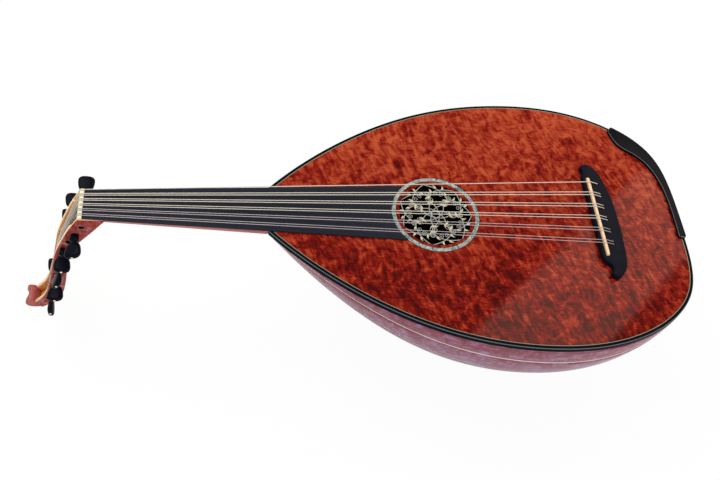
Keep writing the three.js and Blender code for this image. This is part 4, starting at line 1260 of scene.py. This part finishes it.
@dataclass
class Peg:
    """One tapered friction peg with a broad flattened knob."""

    index: int
    turn: float
    tip_radius: float = 3.6
    shaft_radius: float = 4.3
    collar_radius: float = 5.2
    collar_length: float = 3.0
    neck_length: float = 2.5
    knob_width: float = 20.3
    knob_height: float = 20.0
    knob_thickness: float = 8.4
    knob_faces: tuple[int, int] = (32, 24)
    foot_share: float = 0.6
    waist_share: float = 0.74
    dot_radius: float = 2.2
    dot_sides: int = 20
    soft_edge: float = 0.6
    lathe_sides: int = 28

    def __post_init__(self) -> None:
        """Reads the peg's line from its CAD node."""
        self.node = f"peg_{self.index + 1:02d}"
        self.body = f"{self.node}_body"
        self.side = 1.0 if self.index % 2 == 0 else -1.0
        low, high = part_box(self.node)
        self.length = (high.y - low.y) / MM
        self.foot = Vector(((low.x + high.x) / 2, low.y if self.side > 0 else high.y,
                            (low.z + high.z) / 2))
        self.shaft = self.length - self.collar_length - self.neck_length - self.knob_height

    def radius_at(self, y: float) -> float:
        """The shaft's radius, in metres, at a y of the row frame."""
        share = abs(y - self.foot.y) / MM / self.shaft
        return (self.tip_radius + (self.shaft_radius - self.tip_radius) * share) * MM

    def _stand(self, bm: BMesh) -> BMesh:
        """Lays a peg on its own line.

        Args:
            bm: The peg, built along +Z.

        Returns:
            The peg in its place.
        """
        lay = Matrix.Rotation(-pi / 2 * self.side, 4, "X")
        spin = Matrix.Rotation(radians(self.turn), 4, "Z")
        bmesh.ops.transform(bm, matrix=Matrix.Translation(self.foot) @ lay @ spin, verts=bm.verts)
        return bm

    def _knob(self, foot: float) -> BMesh:
        """A broad knob, thicker towards its free end.

        Args:
            foot: The height at which it begins.

        Returns:
            The knob, along +Z.
        """
        bm = ball(1.0, *self.knob_faces)
        upright, fullness, flatness = 0.66, 0.74, 0.6

        def eased(value: float, power: float) -> float:
            """Half a value of -1 to 1, raised to a power and with its sign."""
            return copysign(abs(value) ** power, value) / 2

        for vert in bm.verts:
            height = 0.5 + eased(vert.co.z, upright)
            wide = self.knob_width * (self.waist_share + (1 - self.waist_share) * height)
            deep = self.knob_thickness * (self.foot_share + (1 - self.foot_share) * height)
            vert.co = Vector((eased(vert.co.x, fullness) * wide, eased(vert.co.y, flatness) * deep,
                              foot + self.knob_height * height)) * MM
        return bm

    def build(self) -> None:
        """Builds shaft, collar, knob and the pale button at its end."""
        shaft, soft, collar = self.shaft, self.soft_edge, self.collar_radius
        top = shaft + self.collar_length
        waist = collar * self.foot_share
        knob_foot = top + self.neck_length
        profile = ((0, 0), (self.tip_radius - soft, 0), (self.tip_radius, soft),
                   (self.shaft_radius, shaft - soft), (collar - soft, shaft - soft),
                   (collar, shaft), (collar, top - soft), (collar - soft, top),
                   (waist, top + self.neck_length / 2), (waist, knob_foot + waist),
                   (0, knob_foot + waist))
        peg = self._stand(joined([turned(profile, self.lathe_sides), self._knob(knob_foot)]))
        Piece(f"{self.node}_turned", Look.PEG, "pegs", (self.node,), self.body).make(peg)
        dot = bmesh.new()
        bmesh.ops.create_cone(dot, cap_ends=True, segments=self.dot_sides,
                              radius1=self.dot_radius * MM,
                              radius2=self.dot_radius * self.foot_share * MM, depth=soft * 2 * MM)
        moved(dot, Vector((0, 0, (self.length - soft) * MM)))
        Piece(f"{self.node}_dot", Look.BONE, "bone", (), self.body).make(self._stand(dot))


@dataclass
class Pegs:
    """The eleven pegs, each as its player left it."""

    turns: tuple[float, ...] = (5, 20, 8, -10, 82, 62, 95, 5, 85, 90, 70)
    made: list[Peg] = field(default_factory=list)

    def build(self) -> None:
        """Builds every peg on its own turning body."""
        for i, turn in enumerate(self.turns):
            self.made.append(Peg(i, turn))
            self.made[-1].build()

    def nearest(self, place: Vector) -> Peg:
        """The peg whose axis passes nearest to a place."""
        return min(self.made, key=lambda peg: hypot(peg.foot.x - place.x, peg.foot.z - place.z))


@dataclass
class Strings:
    """One bass string and five pairs, wound in the bass and clear in the treble, each on a peg."""

    pegs: Pegs
    radii: tuple[float, ...] = (0.55, 0.52, 0.48, 0.44, 0.4, 0.36)
    wound: int = 7
    bevel_share: float = 0.29
    wraps: int = 2
    wrap_pitch: float = 2.03
    wrap_steps: int = 18
    wrap_sides: int = 8
    end_points: int = 6

    def _wrap(self, end: Vector, radius: float) -> tuple[str, BMesh]:
        """Winds the string's last turns round its peg, away from the middle of the box.

        Args:
            end: Where the string arrives.
            radius: The string's radius, in millimetres.

        Returns:
            The peg's body and the turns.
        """
        peg = self.pegs.nearest(end)
        side = copysign(1.0, end.y)
        start = atan2(end.z - peg.foot.z, end.x - peg.foot.x)
        points = []
        for i in range(self.wraps * self.wrap_steps + 1):
            turns = i / self.wrap_steps
            angle = start + 2 * pi * turns
            y = end.y + side * (1 + turns) * self.wrap_pitch * radius * MM
            reach = peg.radius_at(y) + radius * MM
            points.append(Vector((peg.foot.x + reach * cos(angle), y,
                                  peg.foot.z + reach * sin(angle))))
        return peg.body, tube(points, radius, self.wrap_sides)

    def build(self) -> None:
        """Rounds every string and winds its end on."""
        for i, name in enumerate(numbered("string", STRING_COUNT)):
            finish, slot = ((Look.WOUND, "wound_string") if i < self.wound
                            else (Look.NYLON, "plain_string"))
            radius = self.radii[(i + 1) // 2]
            bm = refined(name, self.bevel_share * radius, 1)
            lowest = sorted((vert.co.copy() for vert in bm.verts),
                            key=lambda spot: spot.z)[:self.end_points]
            Piece(f"{name}_round", finish, slot, (name,)).make(bm)
            body, wraps = self._wrap(sum(lowest, Vector()) / len(lowest), radius)
            Piece(f"{name}_wraps", finish, slot, (), body).make(wraps)


@dataclass
class Bridge:
    """Glued bridge with its bone saddle and the pickup strip below."""

    saddle_edge: float = 0.35
    crease: float = 45.0

    def build(self) -> None:
        """Dresses bridge, saddle and pickup."""
        Piece("bridge_ebony", Look.EBONY, "ebony", ("bridge",), crease=self.crease).soften(0.0)
        Piece("saddle_bone", Look.SADDLE_BONE, "bone", ("saddle",)).soften(self.saddle_edge, 3)
        Look.METAL.on(frame["nodes"]["pickup_strip"])


@dataclass
class Armrest:
    """The raised black rest on the bass side of the tail, with a wide lobe at its upper end."""

    shape: BodyShape
    height: float = 4.6
    top_round: float = 1.6
    inset: float = 0.3
    lobe_width: float = 23.0
    start_share: float = 0.888
    end_share: float = -0.156
    upper_round: float = 3.8
    lower_round: float = 2.2
    round_steps: int = 5
    stations: int = 240
    crease: float = 45.0
    # Heights of the normals of the inner corner faces that get the painted highlight.
    painted_highlight_normals: Pair = (0.3, 0.75)
    widths: Pairs = ((0, 0.42), (0.05, 0.88), (0.11, 1), (0.2, 0.84), (0.35, 0.6), (0.55, 0.42),
                     (0.75, 0.36), (1, 0.4))

    def _width(self, share: float) -> float:
        """The width on a smooth curve through the given ones.

        Args:
            share: The share of the way along.

        Returns:
            The width.
        """
        last = len(self.widths) - 1
        i = max(k for k in range(last) if share >= self.widths[k][0])
        (x0, y0), (x1, y1) = self.widths[i], self.widths[i + 1]
        (xa, ya), (xb, yb) = self.widths[max(i - 1, 0)], self.widths[min(i + 2, last)]
        span = x1 - x0
        u = (share - x0) / span
        leave, arrive = (y1 - ya) / (x1 - xa) * span, (yb - y0) / (xb - x0) * span
        blend = y0 * (1 + 2 * u) * (1 - u) ** 2 + leave * u * (1 - u) ** 2
        return self.lobe_width * (blend + y1 * u * u * (3 - 2 * u) + arrive * u * u * (u - 1))

    @staticmethod
    def _corner(distance: float, radius: float) -> float:
        """How far a corner of that radius is cut back, at a distance from its end."""
        short = max(radius - distance, 0.0)
        return radius - sqrt(radius * radius - short * short)

    def _section(self, width: float, ahead: float, behind: float) -> list[Pair]:
        """The rest's section.

        Args:
            width: The rest's width.
            ahead: Distance from its upper end.
            behind: Distance from its lower end.

        Returns:
            Its (inset, height) points, from the outer foot over the top to the inner foot.
        """
        cut = self._corner(ahead, self.upper_round) + self._corner(behind, self.lower_round)
        outer, inner = self.inset + cut, self.inset + width - cut
        top = self.height - self._corner(min(ahead, behind), self.top_round)
        radius = min(self.top_round, (inner - outer) / 2)
        bend = [pi / 2 * k / self.round_steps for k in range(self.round_steps + 1)]
        rise = [(outer + radius * (1 - cos(a)), top - radius * (1 - sin(a))) for a in bend]
        fall = [(inner - radius * (1 - sin(a)), top - radius * (1 - cos(a))) for a in bend]
        return [(outer, 0.0), *rise, *fall, (inner, 0.0)]

    def build(self) -> None:
        """Sweeps the rest along the body's edge, with a painted highlight line on its inner corner.
        """
        shape = self.shape
        shares = [k / self.stations for k in range(self.stations + 1)]
        start_x = shape.start + self.start_share * shape.length
        top_t = shape.first(lambda t: shape.rim(t, 0.0).x < start_x, 0.0, 1.0)
        top_y, end_y = shape.rim(top_t, 0.0).y, self.end_share * shape.half_width
        fall = end_y - top_y
        places = [shape.first(lambda t: shape.rim(t, 0.0).y > top_y + fall * share, -top_t, top_t)
                  for share in shares]
        line = [shape.rim(t, 0.0) for t in places]
        run = [0.0]
        for before, after in zip(line, line[1:]):
            run.append(run[-1] + (after - before).length)
        sections = [self._section(self._width(share), gone, run[-1] - gone)
                    for share, gone in zip(shares, run)]
        rest = Piece("arm_ebony", Look.EDGING, "ebony", ("armrest",), crease=self.crease).make(
            shape.swept(places, sections))
        low, high = self.painted_highlight_normals
        # Painted highlight on the inner rounded corner.
        Look.EDGE_SHEEN.on_faces(rest, lambda n: low < n.z < high and n.x + n.y < 0)


@dataclass
class Inside:
    """Blocks, bars and the electric parts, mostly out of sight."""

    woods: tuple[str, ...] = ("neck_block", "tail_block", "sound_bar_1", "sound_bar_2",
                              "sound_bar_3", "sound_bar_4")

    def build(self) -> None:
        """Dresses the inner woods, the lead and the socket."""
        for node in self.woods:
            Look.SPRUCE.on(frame["nodes"][node])
        Look.CABLE.on(frame["nodes"]["pickup_lead"])
        Piece("socket_metal", Look.METAL, "jack_metal", ("output_jack",)).soften(0.0)


@dataclass(frozen=True)
class Lamp:
    """A soft box lamp, aimed at the body, or hung flat and turned about the upright."""

    name: str
    place: Triple
    size: Pair
    watts: float
    flat_turn: float | None = None
    tint: Triple = (1.0, 1.0, 1.0)

    def hang(self) -> None:
        """Adds the lamp to the scene."""
        data = bpy.data.lights.new(self.name, "AREA")
        data.shape = "RECTANGLE"
        data.size, data.size_y = self.size
        data.energy = self.watts
        data.color = self.tint
        lamp = added(self.name, data)
        lamp.location = self.place
        if self.flat_turn is None:
            lamp.rotation_euler = (-Vector(self.place)).to_track_quat("-Z", "Y").to_euler()
        else:
            lamp.rotation_euler = (0.0, 0.0, self.flat_turn)


@dataclass
class Studio:
    """White floor and backdrop, soft lamps and the camera at the picture's view."""

    camera_place: Triple = (132.97, -566.63, 796.0)
    camera_right: Triple = (0.985004, -0.077409, 0.154190)
    camera_ahead: Triple = (0.171312, 0.544842, -0.820853)
    focal_pixels: float = 874.03
    picture_pixels: float = 720.0
    sensor: float = 36.0
    floor_size: float = 12.0
    floor_colour: Colour = (250, 250, 250)
    floor_glow_share: float = 0.95
    floor_clearance: float = 0.0007
    most_lean: float = 0.2
    sky_strength: float = 0.62
    lamps: tuple[Lamp, ...] = (
        Lamp("key lamp", (-0.9, 0.6, 1.7), (1.2, 1.2), 16.0),
        Lamp("front lamp", (0.5, -1.9, 1.1), (1.6, 1.6), 14.0),
        Lamp("band lamp", (0.9, 0.83, 1.59), (1.1, 0.3), 8.0, radians(42), (1.0, 0.72, 0.56)),
    )

    def _camera(self) -> None:
        """Stands the camera where the picture was taken from."""
        data = bpy.data.cameras.new("camera")
        data.sensor_width = self.sensor
        data.lens = self.focal_pixels / self.picture_pixels * self.sensor
        camera = added("camera", data)
        back = -Vector(self.camera_ahead)
        right = Vector(self.camera_right)
        turn = Matrix((right, back.cross(right), back)).transposed()
        camera.matrix_world = Matrix.Translation(at(*self.camera_place)) @ turn.to_4x4()
        bpy.context.scene.camera = camera

    def _rest(self) -> Pair:
        """Finds the floor that touches both the bowl and the carved end.

        Returns:
            Its tilt in radians and its height.
        """
        tip, bowl = (
            [vert.co.copy() for node in nodes for vert in frame["nodes"][node].data.vertices]
            for nodes in (("finial",), numbered("bowl_rib", RIB_COUNT)))

        def lowest(points: Sequence[Vector], angle: float) -> float:
            """The height of the lowest point above a floor of that tilt."""
            return min(p.z * cos(angle) - p.x * sin(angle) for p in points)

        lean = BodyShape.first(lambda angle: lowest(tip, angle) >= lowest(bowl, angle),
                               -self.most_lean, self.most_lean)
        return lean, lowest(bowl, lean) - self.floor_clearance

    def _floor(self) -> None:
        """A white floor that the instrument rests on."""
        lean, height = self._rest()
        bm = bmesh.new()
        bmesh.ops.create_grid(bm, x_segments=1, y_segments=1, size=self.floor_size)
        moved(bm, Vector((0, 0, height)))
        bmesh.ops.transform(bm, matrix=Matrix.Rotation(-lean, 4, "Y"), verts=bm.verts)
        floor = added("floor", as_mesh("floor", bm))
        shader = Shader("studio floor")
        shader.feed(Base_Color=linear(self.floor_colour), Roughness=0.9)
        seen = Signal(shader, shader.node("LightPath").outputs["Is Camera Ray"])
        glow = shader.node("Emission", {"Strength": 1.0})
        mixed = shader.node("MixShader", {0: seen * self.floor_glow_share,
                                          1: shader.surface.outputs[0], 2: glow.outputs[0]})
        shader.plug(shader.output.inputs["Surface"], mixed.outputs[0])
        floor.data.materials.append(shader.material)

    def _world(self) -> None:
        """An even pale sky that the camera and shiny surfaces see as white."""
        world = bpy.data.worlds.new("studio")
        bpy.context.scene.world = world
        tree = Tree(world)
        path = tree.node("LightPath").outputs
        seen = (Signal(tree, path["Is Camera Ray"]) + path["Is Glossy Ray"]
                + path["Is Transmission Ray"])
        plain, clear = (
            tree.node("Background", {"Color": (1, 1, 1, 1), "Strength": light}).outputs[0]
            for light in (self.sky_strength, 1.0))
        mixed = tree.node("MixShader", {0: seen.clamped(), 1: plain, 2: clear})
        tree.node("OutputWorld", {"Surface": mixed.outputs[0]})

    def build(self) -> None:
        """Builds camera, floor, sky and lamps."""
        bpy.context.scene.view_settings.view_transform = "Standard"
        self._camera()
        self._floor()
        self._world()
        for lamp in self.lamps:
            lamp.hang()


def dressed() -> set[tuple[str, str]]:
    """The name of every dressed object, with the name of its first finish."""
    return {(thing.name, thing.active_material.name)
            for thing in bpy.data.objects if thing.active_material}


def main() -> None:
    """Builds the studio and the instrument, then reports each piece."""
    logging.basicConfig(level=logging.INFO, format="%(name)s: %(message)s")
    shape = BodyShape()
    pegs = Pegs()
    parts = (Studio(), Bowl(shape), Top(shape), Rose(shape), Neck(), Pegbox(), pegs, Strings(pegs),
             Bridge(), Armrest(shape), Inside())
    for part in parts:
        before = dressed()
        part.build()
        for name, finish in sorted(dressed() - before):
            log.info("%s: %s in %s", type(part).__name__, name, finish)


if __name__ == "__main__":
    main()
